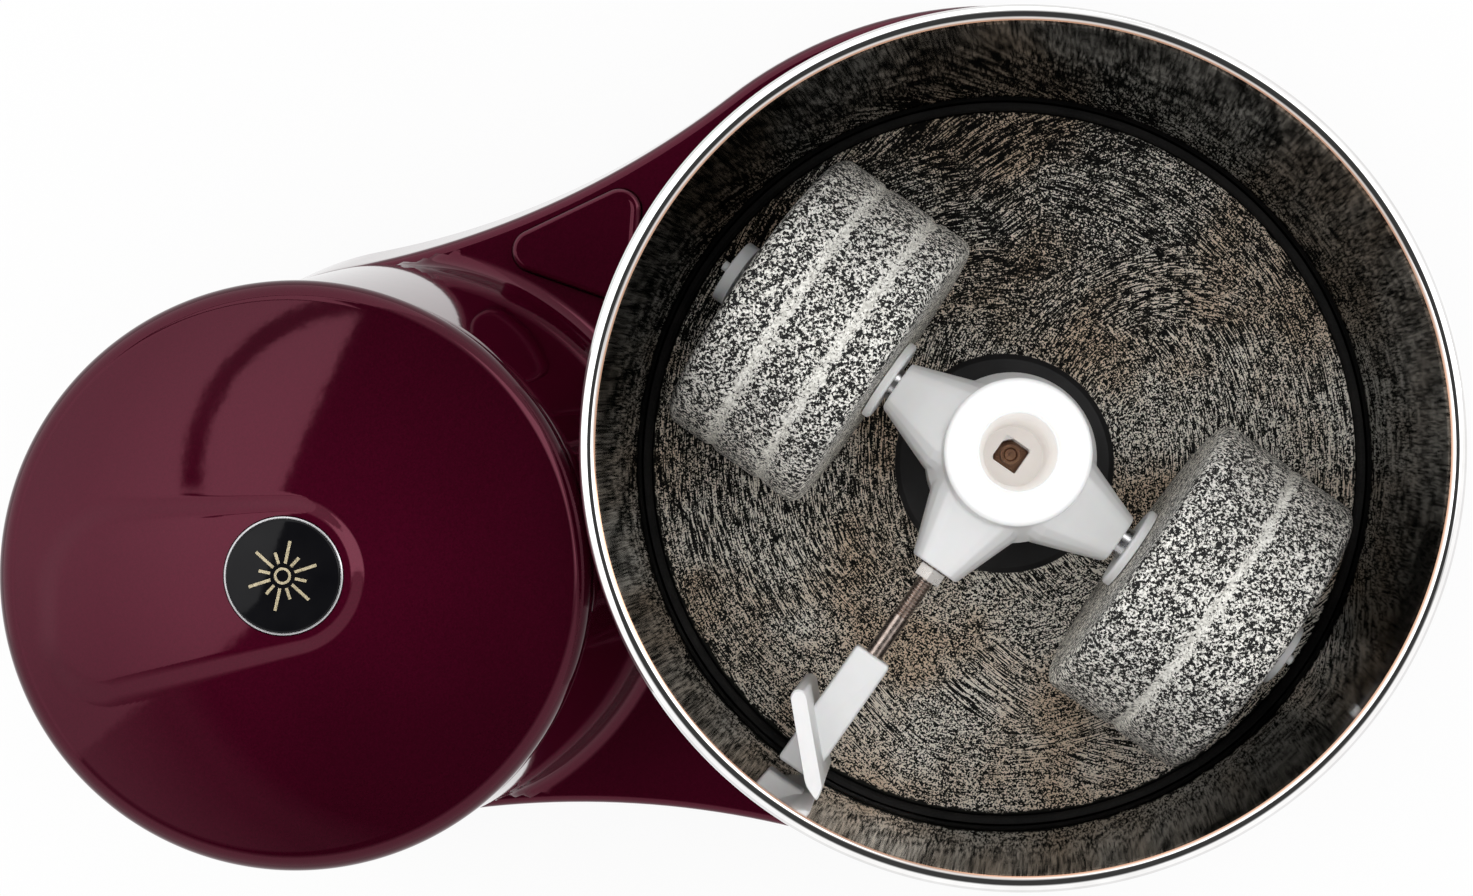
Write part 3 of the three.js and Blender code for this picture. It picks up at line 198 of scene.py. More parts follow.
def hull_outline(circles, steps=24):
    """The tight outline round circles (x, y, r) given counter-clockwise."""
    normals = []
    for i, (x, y, r) in enumerate(circles):
        nx, ny, nr = circles[(i + 1) % len(circles)]
        lean = math.asin((r - nr) / math.hypot(nx - x, ny - y))
        normals.append(math.atan2(ny - y, nx - x) - math.pi / 2 + lean)
    rows = []
    for i, (x, y, r) in enumerate(circles):
        start, end = normals[i - 1], normals[i]
        while end < start:
            end += 2 * math.pi
        rows.append(arc(x, y, r, start, end, steps))
    return np.vstack(rows)


def rounded_box(x0, x1, y0, y1, z0, z1, radius, steps=3):
    """A box with all edges rounded, as a loft of rounded rectangles."""
    cx, cy = (x0 + x1) / 2, (y0 + y1) / 2
    hx, hy = (x1 - x0) / 2 - radius, (y1 - y0) / 2 - radius
    rings = []
    levels = [(z0 + radius - radius * math.cos(a), radius * math.sin(a)) for a in quarter(steps + 1)]
    levels += [(z1 - radius + radius * math.sin(a), radius * math.cos(a)) for a in quarter(steps + 1)]
    for height, r in levels:
        r = max(r, 0.02)
        rings.append(lift(hull_outline([(cx - hx, cy - hy, r), (cx + hx, cy - hy, r),
                                        (cx + hx, cy + hy, r), (cx - hx, cy + hy, r)], 4), height))
    return loft(rings)


def build(name, mesh, material, body, slot, *stands_for, sharp=38.0):
    """An object from a mesh, which rides on a body and may stand for CAD nodes.
    Edges sharper than sharp degrees are shaded sharp."""
    points, faces = mesh
    data = bpy.data.meshes.new(name)
    data.from_pydata(((np.asarray(points) + SHIFT) * MM).tolist(), [], [list(f) for f in faces])
    bm = bmesh.new()
    bm.from_mesh(data)
    bmesh.ops.remove_doubles(bm, verts=bm.verts, dist=2e-6)
    bmesh.ops.recalc_face_normals(bm, faces=bm.faces)
    limit = math.radians(sharp)
    for face in bm.faces:
        face.smooth = True
    for edge in bm.edges:
        if len(edge.link_faces) == 2 and edge.calc_face_angle(0) > limit:
            edge.smooth = False
    bm.to_mesh(data)
    bm.free()
    obj = bpy.data.objects.new(name, data)
    bpy.context.scene.collection.objects.link(obj)
    data.materials.append(material)
    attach(obj, body)
    if stands_for:
        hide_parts(*stands_for)
    return obj


def applied(obj):
    """The object's modifiers become its mesh."""
    graph = bpy.context.evaluated_depsgraph_get()
    graph.update()
    data = bpy.data.meshes.new_from_object(obj.evaluated_get(graph))
    obj.modifiers.clear()
    obj.data = data
    return obj


# ---- materials ----

class Nodes:
    """Short ways to add shader nodes to one node tree."""

    def __init__(self, tree, place="Object"):
        self.tree = tree
        self.place = self.add("ShaderNodeTexCoord").outputs[place]

    def add(self, kind, **settings):
        node = self.tree.nodes.new(kind)
        for key, value in settings.items():
            setattr(node, key, value)
        return node

    def link(self, source, target):
        self.tree.links.new(source, target)

    def put(self, node, values):
        for key, value in values.items():
            socket = node.inputs[key]
            if isinstance(value, bpy.types.NodeSocket):
                self.link(value, socket)
            else:
                socket.default_value = value
        return node

    def math(self, operation, a, b=0.0, c=0.0):
        node = self.add("ShaderNodeMath", operation=operation)
        return self.put(node, {0: a, 1: b, 2: c}).outputs[0]

    def times(self, a, b):
        return self.math("MULTIPLY", a, b)

    def plus(self, a, b):
        return self.math("ADD", a, b)

    def vector(self, operation, a, b=(0, 0, 0)):
        node = self.add("ShaderNodeVectorMath", operation=operation)
        self.put(node, {0: a, 1: b})
        return node.outputs["Value" if operation in ("LENGTH", "DOT_PRODUCT") else "Vector"]

    def noise(self, scale, detail=3.0, rough=0.55, place=None):
        node = self.add("ShaderNodeTexNoise")
        self.put(node, {"Vector": place or self.place, "Scale": scale, "Detail": detail,
                        "Roughness": rough})
        return node.outputs["Fac"]

    def cells(self, scale, place=None):
        """Small cells, each with its own random colour."""
        node = self.add("ShaderNodeTexVoronoi", feature="F1")
        self.put(node, {"Vector": place or self.place, "Scale": scale})
        return node.outputs["Color"]

    def band(self, source, stops):
        """A colour ramp; stops are (position, colour)."""
        node = self.add("ShaderNodeValToRGB")
        ramp = node.color_ramp
        while len(ramp.elements) < len(stops):
            ramp.elements.new(0.5)
        for element, (position, color) in zip(ramp.elements, stops):
            element.position = position
            element.color = (*color, 1.0)
        self.link(source, node.inputs[0])
        return node.outputs[0]

    def mix(self, share, first, second, blend="MIX"):
        node = self.add("ShaderNodeMix", data_type="RGBA", blend_type=blend)
        first, second = ((*v, 1.0) if isinstance(v, tuple) else v for v in (first, second))
        return self.put(node, {0: share, 6: first, 7: second}).outputs[2]

    def span(self, source, low, high, first=0.0, last=1.0):
        """Maps low to high onto first to last, and holds the ends."""
        node = self.add("ShaderNodeMapRange")
        self.put(node, {"Value": source, "From Min": low, "From Max": high,
                        "To Min": first, "To Max": last})
        return node.outputs["Result"]

    def bump(self, height, distance, strength):
        node = self.add("ShaderNodeBump")
        self.put(node, {"Height": height, "Distance": distance, "Strength": strength})
        return node.outputs["Normal"]

    def speck(self, color):
        """An even spread of numbers from 0 to 1, one for each cell of a cell pattern."""
        return self.vector("DOT_PRODUCT", color, (1, 0, 0))

    def grey(self, value):
        """One number as a grey colour."""
        node = self.add("ShaderNodeCombineXYZ")
        self.put(node, {"X": value, "Y": value, "Z": value})
        return node.outputs[0]

    def axis_distance(self, axis_xy):
        """How far a point is from a vertical axis."""
        offset = self.vector("SUBTRACT", self.place, (*axis_xy, 0))
        return self.vector("LENGTH", self.vector("MULTIPLY", offset, (1, 1, 0)))

    def height(self):
        split = self.add("ShaderNodeSeparateXYZ")
        self.link(self.place, split.inputs[0])
        return split.outputs["Z"]

    def round_axis(self, axis_xy, spread, fine):
        """Coordinates that run along circles round a vertical axis: streaks follow the turning."""
        offset = self.vector("SUBTRACT", self.place, (*axis_xy, 0))
        flat = self.vector("MULTIPLY", offset, (1, 1, 0))
        radius = self.vector("LENGTH", flat)
        unit = self.vector("NORMALIZE", flat)
        along = self.vector("MULTIPLY", unit, (spread, spread, 0))
        split = self.add("ShaderNodeSeparateXYZ")
        self.link(offset, split.inputs[0])
        combine = self.add("ShaderNodeCombineXYZ")
        self.put(combine, {"Z": self.times(self.plus(radius, split.outputs["Z"]), fine)})
        return self.vector("ADD", along, combine.outputs[0])


class Finish(Nodes):
    """A new material, whose main shader takes its values in done()."""

    def __init__(self, name):
        self.material = bpy.data.materials.new(name)
        self.material.use_nodes = True
        super().__init__(self.material.node_tree)
        self.shader = self.tree.nodes["Principled BSDF"]

    def done(self, **values):
        self.put(self.shader, {key.replace("_", " "): value for key, value in values.items()})
        return self.material


DRUM_AXIS = tuple(SHIFT[:2] * MM)


def make_cherry():
    """Deep red gloss paint with a faint cloud, fine flecks, a soft ripple and painted light on the lid."""
    m = Finish("cherry_gloss")
    cloud = m.noise(11, 2)
    fleck = m.cells(2600)
    tone = m.mix(m.span(cloud, 0.3, 0.7), (0.029, 0.0006, 0.0056), (0.040, 0.0009, 0.0078))
    # painted light: the lid is painted lighter in its middle and deeper towards its edge, standing in for
    # the pearl paint's sheen seen from above
    lid_axis = ((TOWER_X + SHIFT[0]) * MM, SHIFT[1] * MM)
    lid = m.span(m.axis_distance(lid_axis), 0.02, 0.078, 1.12, 0.66)
    above = m.span(m.height(), 0.196, 0.1965)
    tone = m.mix(above, tone, m.mix(1.0, tone, m.grey(lid), "MULTIPLY"))
    fleck_value = m.span(m.vector("DOT_PRODUCT", fleck, (0.33, 0.33, 0.33)), 0.2, 0.8, 0.85, 1.2)
    tone = m.mix(1.0, tone, m.grey(fleck_value), "MULTIPLY")
    peel = m.noise(160, 2)
    return m.done(Base_Color=tone, Roughness=m.span(cloud, 0.2, 0.8, 0.035, 0.06), IOR=1.5,
                  Specular_Tint=(1.0, 0.32, 0.44, 1.0), Normal=m.bump(peel, 0.00004, 0.3))


def make_plain_steel():
    """Turned steel with fine streaks and a few smears."""
    m = Finish("plain_steel")
    streak = m.noise(1.0, 4, 0.6, m.round_axis(DRUM_AXIS, 40, 500))
    smear = m.noise(30, 3)
    rough = m.plus(m.span(streak, 0.3, 0.7, 0.2, 0.34), m.span(smear, 0.35, 0.75, 0.0, 0.05))
    tone = m.mix(m.span(streak, 0.3, 0.7), (0.5208, 0.5208, 0.5301), (0.56, 0.56, 0.57))
    return m.done(Base_Color=tone, Metallic=1.0, Roughness=rough, Normal=m.bump(streak, 0.00003, 0.5))


def make_drum_steel():
    """Polished steel, painted dark on the inside below the rolled rim as painted shade, with painted
    reflections of the blade and a cap.
    """
    m = Finish("drum_steel")
    streak = m.noise(1.0, 4, 0.6, m.round_axis(DRUM_AXIS, 10, 700))
    smear = m.noise(26, 4, 0.6)
    inside = m.times(m.span(m.axis_distance(DRUM_AXIS), 0.11585, 0.11600, 1.0, 0.0),
                     m.span(m.height(), 0.2125, 0.2145, 1.0, 0.0))
    edge = m.times(m.span(m.axis_distance(DRUM_AXIS), 0.11570, 0.11635, 1.0, 0.0),
                   m.span(m.height(), 0.2125, 0.2165, 0.0, 1.0))
    bright = m.mix(m.span(streak, 0.3, 0.7), (0.74, 0.73, 0.725), (0.83, 0.825, 0.82))
    bright = m.mix(edge, bright, (0.42, 0.25, 0.17))
    wall = m.mix(m.span(streak, 0.3, 0.7), (0.52, 0.52, 0.525), (0.64, 0.64, 0.645))
    bright = m.mix(m.span(m.height(), 0.2105, 0.2125, 1.0, 0.0), bright, wall)
    # painted shade: the inside of the wall is painted dark, standing in for the shaded floor it reflects
    wear_and_painted_light = m.mix(m.span(smear, 0.3, 0.7), (0.016, 0.015, 0.014), (0.040, 0.037, 0.035))
    # painted reflections: the wall is painted bright where the blade and a cap stand near it
    offset = m.vector("SUBTRACT", m.place, (*DRUM_AXIS, 0))
    out = m.vector("NORMALIZE", m.vector("MULTIPLY", offset, (1, 1, 0)))
    for turn, inner, outer in ((SCRAPER_TURN + 6, 0.945, 0.978), (AXLE_TURN + 180, 0.991, 0.996)):
        way = (math.cos(math.radians(turn)), math.sin(math.radians(turn)), 0)
        wear_and_painted_light = m.mix(m.span(m.vector("DOT_PRODUCT", out, way), inner, outer), wear_and_painted_light, (0.80, 0.78, 0.77))
    tone = m.mix(inside, bright, wear_and_painted_light)
    rough = m.plus(m.span(streak, 0.3, 0.7, 0.02, 0.05),
                   m.times(inside, m.span(smear, 0.4, 0.8, 0.0, 0.03)))
    return m.done(Base_Color=tone, Metallic=1.0, Roughness=rough, Normal=m.bump(streak, 0.00001, 0.4))


def make_floor_granite():
    """Dark granite ground in arcs, with a black edge that is wider on one side, and painted shade towards
    the front.
    """
    m = Finish("floor_granite")
    grain = m.speck(m.cells(2350))
    strokes = [m.speck(m.cells(1.0, m.round_axis(axis, spread, fine)))
               for axis, spread, fine in ((DRUM_AXIS, 24, 3000),
                                          ((DRUM_AXIS[0] - 0.056, DRUM_AXIS[1] + 0.002), 22, 2900))]
    stroke = m.mix(m.span(m.noise(16, 2), 0.46, 0.54), strokes[0], strokes[1])
    streaky = m.span(m.noise(34, 3), 0.4, 0.6, 0.34, 0.62)
    share = m.mix(streaky, grain, stroke)
    fine = m.noise(2100, 2, 0.6)
    share = m.plus(m.times(share, 0.84), m.times(fine, 0.16))
    # painted shade: darker towards the front, at the top of the camera's view
    shade_slope = m.vector("DOT_PRODUCT", m.vector("SUBTRACT", m.place, (*DRUM_AXIS, 0)), (-0.17, 0.985, 0))
    share = m.plus(share, m.span(shade_slope, -0.1, 0.06, -0.105, 0.038))
    share = m.plus(share, m.span(m.noise(30, 4, 0.6), 0.3, 0.7, -0.034, 0.024))
    tone = m.band(share, [(0.455, (0.003, 0.003, 0.0028)), (0.52, (0.035, 0.032, 0.026)),
                          (0.56, (0.33, 0.307, 0.257)), (0.595, (0.93, 0.89, 0.80))])
    brown = m.span(m.noise(19, 3, 0.6), 0.42, 0.60)
    tone = m.mix(m.times(brown, 0.8), tone, (0.74, 0.58, 0.45), "MULTIPLY")
    dark_edge_centre = (DRUM_AXIS[0] - 0.0006, DRUM_AXIS[1] - 0.0008)
    ragged = m.plus(m.axis_distance(dark_edge_centre), m.span(m.noise(240, 3, 0.7), 0.3, 0.7, -0.0009, 0.0009))
    tone = m.mix(m.span(ragged, 0.1119, 0.1124), tone, (0.006, 0.006, 0.005))
    return m.done(Base_Color=tone, Roughness=m.span(fine, 0.3, 0.7, 0.55, 0.85), Specular_IOR_Level=0.2,
                  Normal=m.bump(share, 0.0002, 0.5))


def make_roller_granite():
    """Speckled granite; the grooves hold pale dust, and the lower sides are painted paler as painted light
    against the shade they fall into.
    """
    m = Finish("roller_granite")
    fine = m.noise(1250, 3, 0.7)
    coarse = m.noise(480, 3, 0.7)
    grit = m.speck(m.cells(1700))
    share = m.plus(m.times(fine, 0.60), m.times(coarse, 0.34))
    share = m.plus(share, m.times(grit, 0.06))
    turn, side = math.radians(AXLE_TURN), math.radians(SCRAPER_TURN)
    middle = (DRUM_AXIS[0] + AXLE_SIDE * MM * math.cos(side),
              DRUM_AXIS[1] + AXLE_SIDE * MM * math.sin(side), 0)
    along = m.vector("DOT_PRODUCT", m.vector("SUBTRACT", m.place, middle),
                     (math.cos(turn), math.sin(turn), 0))
    dust = 0.0
    for place in GROOVE_PLACES:
        band = m.span(m.math("ABSOLUTE", m.math("SUBTRACT", along, place * MM)), 0.0007, 0.0026, 1.0, 0.0)
        dust = m.math("MAXIMUM", band, dust)
    # painted light: the stone is painted paler towards its axle's height and below, offsetting the shade on
    # its sides
    flank = m.span(m.height(), (AXLE_Z + 2) * MM, (AXLE_Z + 38) * MM, 1.0, 0.0)
    share = m.plus(share, m.times(dust, 0.07))
    share = m.plus(share, m.times(flank, 0.012))
    grey = m.mix(grit, (0.47, 0.458, 0.42), (0.90, 0.885, 0.84))
    dark = m.mix(flank, (0.004, 0.0038, 0.0035), (0.012, 0.0115, 0.0105))
    tone = m.mix(m.span(share, 0.507, 0.513), dark, grey)
    tone = m.mix(flank, tone, (1.42, 1.39, 1.33), "MULTIPLY")
    return m.done(Base_Color=tone, Roughness=m.span(fine, 0.3, 0.7, 0.6, 0.9), Specular_IOR_Level=0.3,
                  Normal=m.bump(fine, 0.0002, 0.5))


def make_plain(name, low, high, rough, scale, bump_scale, depth, **extra):
    """A material between two close tones and two roughnesses, with a fine bump."""
    m = Finish(name)
    cloud = m.noise(scale, 3)
    fine = m.noise(bump_scale, 3)
    tone = m.mix(m.span(cloud, 0.3, 0.7), low, high)
    return m.done(Base_Color=tone, Roughness=m.span(fine, 0.3, 0.7, *rough),
                  Normal=m.bump(fine, depth, 0.5), **extra)


cherry = make_cherry()
mirror_steel = make_drum_steel()
plain_steel = make_plain_steel()
lamination = make_plain(
    "lamination", (0.14, 0.135, 0.13), (0.2, 0.19, 0.18), (0.3, 0.45), 200, 1500, 0.00008, Metallic=0.8)
copper = make_plain(
    "varnished_copper", (0.42, 0.14, 0.05), (0.55, 0.21, 0.08), (0.25, 0.4), 300, 900, 0.0002,
    Metallic=0.9)
spindle_steel = make_plain(
    "spindle_steel", (0.20, 0.11, 0.07), (0.34, 0.2, 0.13), (0.25, 0.45), 300, 900, 0.00005,
    Metallic=0.85)
rod_steel = make_plain(
    "rod_steel", (0.34, 0.27, 0.235), (0.56, 0.47, 0.42), (0.22, 0.36), 400, 1200, 0.00005, Metallic=0.95)
alloy = make_plain(
    "cast_alloy", (0.38, 0.385, 0.39), (0.5, 0.505, 0.51), (0.4, 0.55), 120, 1400, 0.00008, Metallic=0.9)
nylon = make_plain(
    "white_nylon", (0.875, 0.877, 0.88), (0.915, 0.918, 0.92), (0.28, 0.4), 70, 700, 0.00004,
    Subsurface_Weight=0.08, Subsurface_Scale=0.002)
# painted light: the bore's nylon glows faintly, lifting the deep bore out of its shade
glowing_bore_nylon = make_plain(
    "glowing_bore_nylon", (0.80, 0.775, 0.75), (0.86, 0.835, 0.81), (0.3, 0.45), 90, 900, 0.00004,
    Subsurface_Weight=0.1, Subsurface_Scale=0.003,
    Emission_Color=(1.0, 0.96, 0.93, 1.0), Emission_Strength=0.13)
nut_steel = make_plain(
    "nut_steel", (0.80, 0.78, 0.75), (0.92, 0.90, 0.87), (0.22, 0.34), 40, 90, 0.00003, Metallic=0.75)
black_plastic = make_plain(
    "black_plastic", (0.012, 0.012, 0.013), (0.022, 0.021, 0.022), (0.35, 0.5), 90, 1500, 0.00006)
badge_black = make_plain(
    "badge_black", (0.003, 0.003, 0.004), (0.006, 0.006, 0.007), (0.03, 0.06), 60, 300, 0.00001,
    Specular_IOR_Level=0.12)
pale_gold = make_plain(
    "pale_gold", (0.66, 0.56, 0.36), (0.78, 0.68, 0.47), (0.2, 0.35), 300, 1500, 0.00004, Metallic=0.9)
rubber = make_plain(
    "black_rubber", (0.005, 0.005, 0.005), (0.012, 0.011, 0.010), (0.6, 0.8), 90, 1200, 0.0001,
    Specular_IOR_Level=0.25)
grey_plastic = make_plain(
    "grey_plastic", (0.22, 0.225, 0.23), (0.28, 0.285, 0.29), (0.4, 0.5), 80, 1200, 0.00004)
floor_granite = make_floor_granite()
roller_granite = make_roller_granite()

slot_materials = {
    "cherry_plastic": cherry, "mirror_steel": mirror_steel, "steel": plain_steel, "lamination": lamination,
    "winding_copper": copper, "spindle_steel": spindle_steel, "alloy": alloy, "nylon": nylon,
    "black_plastic": black_plastic, "badge_gloss": badge_black, "rubber": rubber,
    "floor_granite": floor_granite, "roller_granite": roller_granite, "grey_plastic": grey_plastic,
}
# the CAD nodes that no mesh replaces show their slot's material
for entry in frame["record"]["subparts"]:
    node = frame["nodes"][entry["node"]]
    if not node.material_slots:
        node.data.materials.append(None)
    for material_slot in node.material_slots:
        material_slot.material = slot_materials[entry["material_slot"]]


# ---- drum ----

DRUM_INNER, DRUM_OUTER, DRUM_TOP, BEAD_R = 115.5, 116.5, 218.0, 2.8


def make_drum():
    """The steel drum with its rolled rim, the stone, the seal, the boss and the centre tube."""
    bead_x, bead_z = DRUM_INNER + 1.9, DRUM_TOP - BEAD_R
    inner = math.acos((DRUM_INNER - bead_x) / BEAD_R)
    outer = -math.acos((DRUM_OUTER - bead_x) / BEAD_R)
    bead = [tuple(p) for p in arc(bead_x, bead_z, BEAD_R, inner, outer, 40)]
    profile = rounded([(12.8, 81), (DRUM_INNER, 81, 3), (DRUM_INNER, bead[0][1])]) + bead[1:]
    profile += rounded([(DRUM_OUTER, bead[-1][1]), (DRUM_OUTER, 80, 4), (12.8, 80)])
    build("drum_wall", lathe(profile, 288, ring=True), mirror_steel, "drum", "mirror_steel", "drum_shell")
    stone = rounded([(18, 81.3), (18, STONE_TOP, 0.5), (112.4, STONE_TOP, 0.7), (112.4, 81.3)])
    build("grinding_floor", lathe(stone, 240, ring=True), floor_granite, "drum", "floor_granite",
          "base_stone")
    seal = rounded([(112.7, 84.3), (112.7, 100.3, 0.6), (113.6, 101.5, 0.6), (115.2, 101.7, 0.3),
                    (115.2, 84.3)])
    build("floor_seal", lathe(seal, 240, ring=True), rubber, "drum", "rubber", "ring_seal")
    boss = rounded([(12.8, 81.3), (17.7, 81.3), (17.7, 100.3), (35, 100.3), (35, 101.2, 0.5),
                    (33.2, 102.3, 0.8), (17.5, 102.6, 1.5), (15.6, 106, 0.8), (12.8, 106)])
    build("drum_boss", lathe(boss, 120, ring=True), black_plastic, "drum", "black_plastic", "centre_boss")
    tube = [(10.5, 81), (12.5, 81), (12.5, 147.5), (12.0, 148), (10.9, 148), (10.5, 147.6)]
    build("drum_tube", lathe(tube, 64, ring=True), mirror_steel, "drum", "mirror_steel", "centre_tube")


make_drum()


# ---- base and tower ----

# the base's end circles at its top, its hollow flanks, and how far its wall leans out by the foot
BASE_Y, DRUM_END_R, TOWER_END_R, FLANK_R, BASE_LEAN = -10.0, 143.5, 92.0, 300.0, 7.0
TOWER_TOP_R, TOWER_FLARE, TOWER_SOFT, DRUM_CLEARANCE = 80.0, 7.0, 2.5, 121.0
DECK_EDGE, WELL_GAP = 3.0, 0.5
PAD_CORNERS, PAD_R = ((110, -105.5), (140.5, -97), (115.5, -83)), 7.0


def base_circles(height, inset):
    """The base's two end circles (x, y, r) at a height; its wall leans out downwards."""
    lean = BASE_LEAN * (BASE_TOP - height) / (BASE_TOP - SHELL_FOOT)
    y = BASE_Y - lean
    return (0.0, y, DRUM_END_R + lean - inset), (TOWER_X, y, TOWER_END_R + lean - inset)


def base_outline(height, inset, counts=(130, 26, 90, 26)):
    """Two end circles joined by hollow flanks, which are arcs that touch both."""
    drum_end, tower_end = base_circles(height, inset)
    flank = FLANK_R + inset

    def centre(side):
        reach, other = drum_end[2] + flank, tower_end[2] + flank
        apart = tower_end[0]
        along = (apart ** 2 + reach ** 2 - other ** 2) / (2 * apart)
        return along, drum_end[1] + side * math.sqrt(reach ** 2 - along ** 2)

    def angle(a, b):
        return math.atan2(b[1] - a[1], b[0] - a[0])

    rear, front = centre(1), centre(-1)
    return np.vstack([
        arc(*drum_end, angle(drum_end, rear), angle(drum_end, front) + 2 * math.pi, counts[0]),
        arc(*front, flank, angle(front, drum_end), angle(front, tower_end), counts[1])[1:],
        arc(*tower_end, angle(tower_end, front), angle(tower_end, rear), counts[2])[1:],
        arc(*rear, flank, angle(rear, tower_end), angle(rear, drum_end), counts[3])[1:-1],
    ])


def pad_outline(margin, steps=12):
    """The press pad's three-cornered outline, or the one of its well with a margin."""
    return hull_outline([(x, y, PAD_R + margin) for x, y in PAD_CORNERS], steps)


def flat_with_hole(outline, hole, height):
    """A flat face with one hole, as triangles."""
    loops = [[Vector((*p, height)) for p in outline], [Vector((*p, height)) for p in hole]]
    triangles = geometry.tessellate_polygon(loops)
    return np.array([tuple(v) for loop in loops for v in loop]), [tuple(t) for t in triangles]


def tower_radius(theta, height):
    """The tower's middle and how far its wall is from there, in a direction at a height."""
    share = (SEAM - height) / (SEAM - BASE_TOP)
    y, radius = BASE_Y * share, TOWER_TOP_R + (TOWER_END_R - TOWER_TOP_R) * share
    wall = radius
    if height < BASE_TOP + TOWER_FLARE:
        drop = min(BASE_TOP + TOWER_FLARE - height, TOWER_FLARE)
        spread = TOWER_FLARE - math.sqrt(TOWER_FLARE ** 2 - drop ** 2)
        wall = max(radius, min(radius + spread, edge_reach(theta, y)))
    if height <= BASE_TOP - 2:
        wall = min(wall, radius - 1.2)
    # hollow side round the drum, with a soft corner where it begins
    dx, dy = math.cos(theta), math.sin(theta)
    b = TOWER_X * dx + y * dy
    c = TOWER_X ** 2 + y ** 2 - DRUM_CLEARANCE ** 2
    root = b * b - c
    if b < 0 and root > 0:
        hollow = -b - math.sqrt(root)
        near = max(TOWER_SOFT - abs(wall - hollow), 0) / TOWER_SOFT
        wall = min(wall, hollow) - near * near * TOWER_SOFT / 4
    return y, wall


top_edge = base_outline(BASE_TOP, DECK_EDGE)


def edge_reach(theta, y):
    """How far the base's top edge is from the tower's middle, in a direction."""
    rel = top_edge - np.array([TOWER_X, y])
    angles = np.arctan2(rel[:, 1], rel[:, 0])
    gap = np.abs((angles - theta + math.pi) % (2 * math.pi) - math.pi)
    near = np.argsort(gap)[:2]
    if gap[near[0]] > 0.12:
        return 400.0
    return float(np.hypot(*rel[near[0]]))


def make_body():
    """The base with its deck, the press pad's well and a collar, and the tower on it."""
    levels = [(62, SHELL_WALL), (SHELL_FOOT, SHELL_WALL), (SHELL_FOOT, 0.4), (SHELL_FOOT + 0.5, 0)]
    levels += [(z, 0) for z in np.linspace(12, 66.5, 7)]
    levels += [(BASE_TOP - DECK_EDGE + DECK_EDGE * math.sin(a), DECK_EDGE - DECK_EDGE * math.cos(a))
               for a in quarter(9)[1:]]
    rings = [lift(base_outline(z, inset), z) for z, inset in levels]
    # the smooth outline bulges a little past the faceted one, so it is held to the same box
    low, high = (corner[1] / MM - SHIFT[1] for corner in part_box("body_shell"))
    rings = [[(x, min(max(y, low), high), z) for x, y, z in ring] for ring in rings]
    base = loft(rings, close_high=False)
    hole = pad_outline(WELL_GAP)
    deck = flat_with_hole(top_edge, hole, BASE_TOP)
    well = loft([lift(hole, BASE_TOP), lift(hole, BASE_TOP - 0.3), lift(hole, 64)], close_low=False)
    collar = lathe(rounded([(31, 69.5), (31, 71.8, 0.4), (34, 71.8, 0.4), (34, 69.5)]), 96, ring=True)
    # the tower: levels are (height, height its radius is taken at, inset)
    levels = [(z, z, 0) for z in (66, 68, 69.5)]
    levels += [(z, z, 0) for z in BASE_TOP + TOWER_FLARE * (1 - np.cos(quarter(9)))]
    levels += [(z, z, 0) for z in np.linspace(82, 194.4, 12)]
    levels += [(SEAM, SEAM, 0.5), (SEAM, SEAM, SHELL_WALL), (185, SEAM, SHELL_WALL)]
    tower_rings = []
    for height, level, inset in levels:
        row = []
        for angle in full_turn(300):
            y, reach = tower_radius(angle, level)
            reach -= inset
            row.append((TOWER_X + reach * math.cos(angle), y + reach * math.sin(angle), height))
        tower_rings.append(row)
    tower = loft(tower_rings)
    # a raised pad round the power switch, square to the leaning wall
    lean = math.radians(SWITCH_LEAN)
    c, s = math.cos(lean), math.sin(lean)
    tilt = np.array([[c, 0, -s], [0, 1, 0], [s, 0, c]])
    boss = moved(rounded_box(-5, 1, -20, 20, -16, 16, 0.9), SWITCH_PLACE, tilt)
    build("base_housing", merged(base, deck, well, collar), cherry, "base", "cherry_plastic",
          "body_shell")
    build("tower_housing", merged(tower, boss), cherry, "base", "cherry_plastic", "body_shell")


make_body()


PRESS_PLACE = (122, -95)


def make_pad():
    """The raised pad on the deck, with a rounded edge and the top of its stem."""
    edge = 1.7
    levels = [(66.6, 0), (71.5, 0)]
    levels += [(71.5 + edge * math.sin(a), edge * math.cos(a) - edge) for a in quarter(7)[1:]]
    levels += [(73.0, -2.6), (72.95, -3.4)]
    pad = loft([lift(pad_outline(margin), z) for z, margin in levels])
    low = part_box("press_button")[0][2] / MM
    stem = moved(lathe([(0, low), (4, low), (4, 66.8), (0, 66.8)], 32), (*PRESS_PLACE, 0))
    build("press_pad", merged(pad, stem), cherry, "press_button", "cherry_plastic", "press_button")


make_pad()


def make_spring():
    """The wound spring under the press pad."""
    radius, wire, turns, steps, sides = 7.0, 0.7, 6, 24, 10
    low, high = 43.0, 65.19
    up = np.array([0.0, 0.0, 1.0])
    rings = []
    for share in np.linspace(0, 1, turns * steps + 1):
        angle = 2 * math.pi * turns * share
        out = np.array([math.cos(angle), math.sin(angle), 0.0])
        middle = np.array([*PRESS_PLACE, low + (high - low) * share]) + radius * out
        rings.append([middle + wire * (math.cos(a) * out + math.sin(a) * up)
                      for a in full_turn(sides)])
    coil = build("press_coil", loft(rings), plain_steel, "base", "steel", "press_spring")
    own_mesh(coil)


make_spring()


# ---- lid of the tower ----

# the dome reaches to LID_EDGE_X, and an arc of radius LID_EDGE turns it down to the waist
LID_EDGE_X, LID_WAIST, LID_EDGE, LID_DOME = 75.8, 204.0, 5.5, 6.5
LID_TOP = LID_WAIST + LID_EDGE + LID_DOME
BADGE_SEAT = LID_TOP - 0.15
BADGE_SEAT_R = 16.3
TONGUE_TURN = -9.8


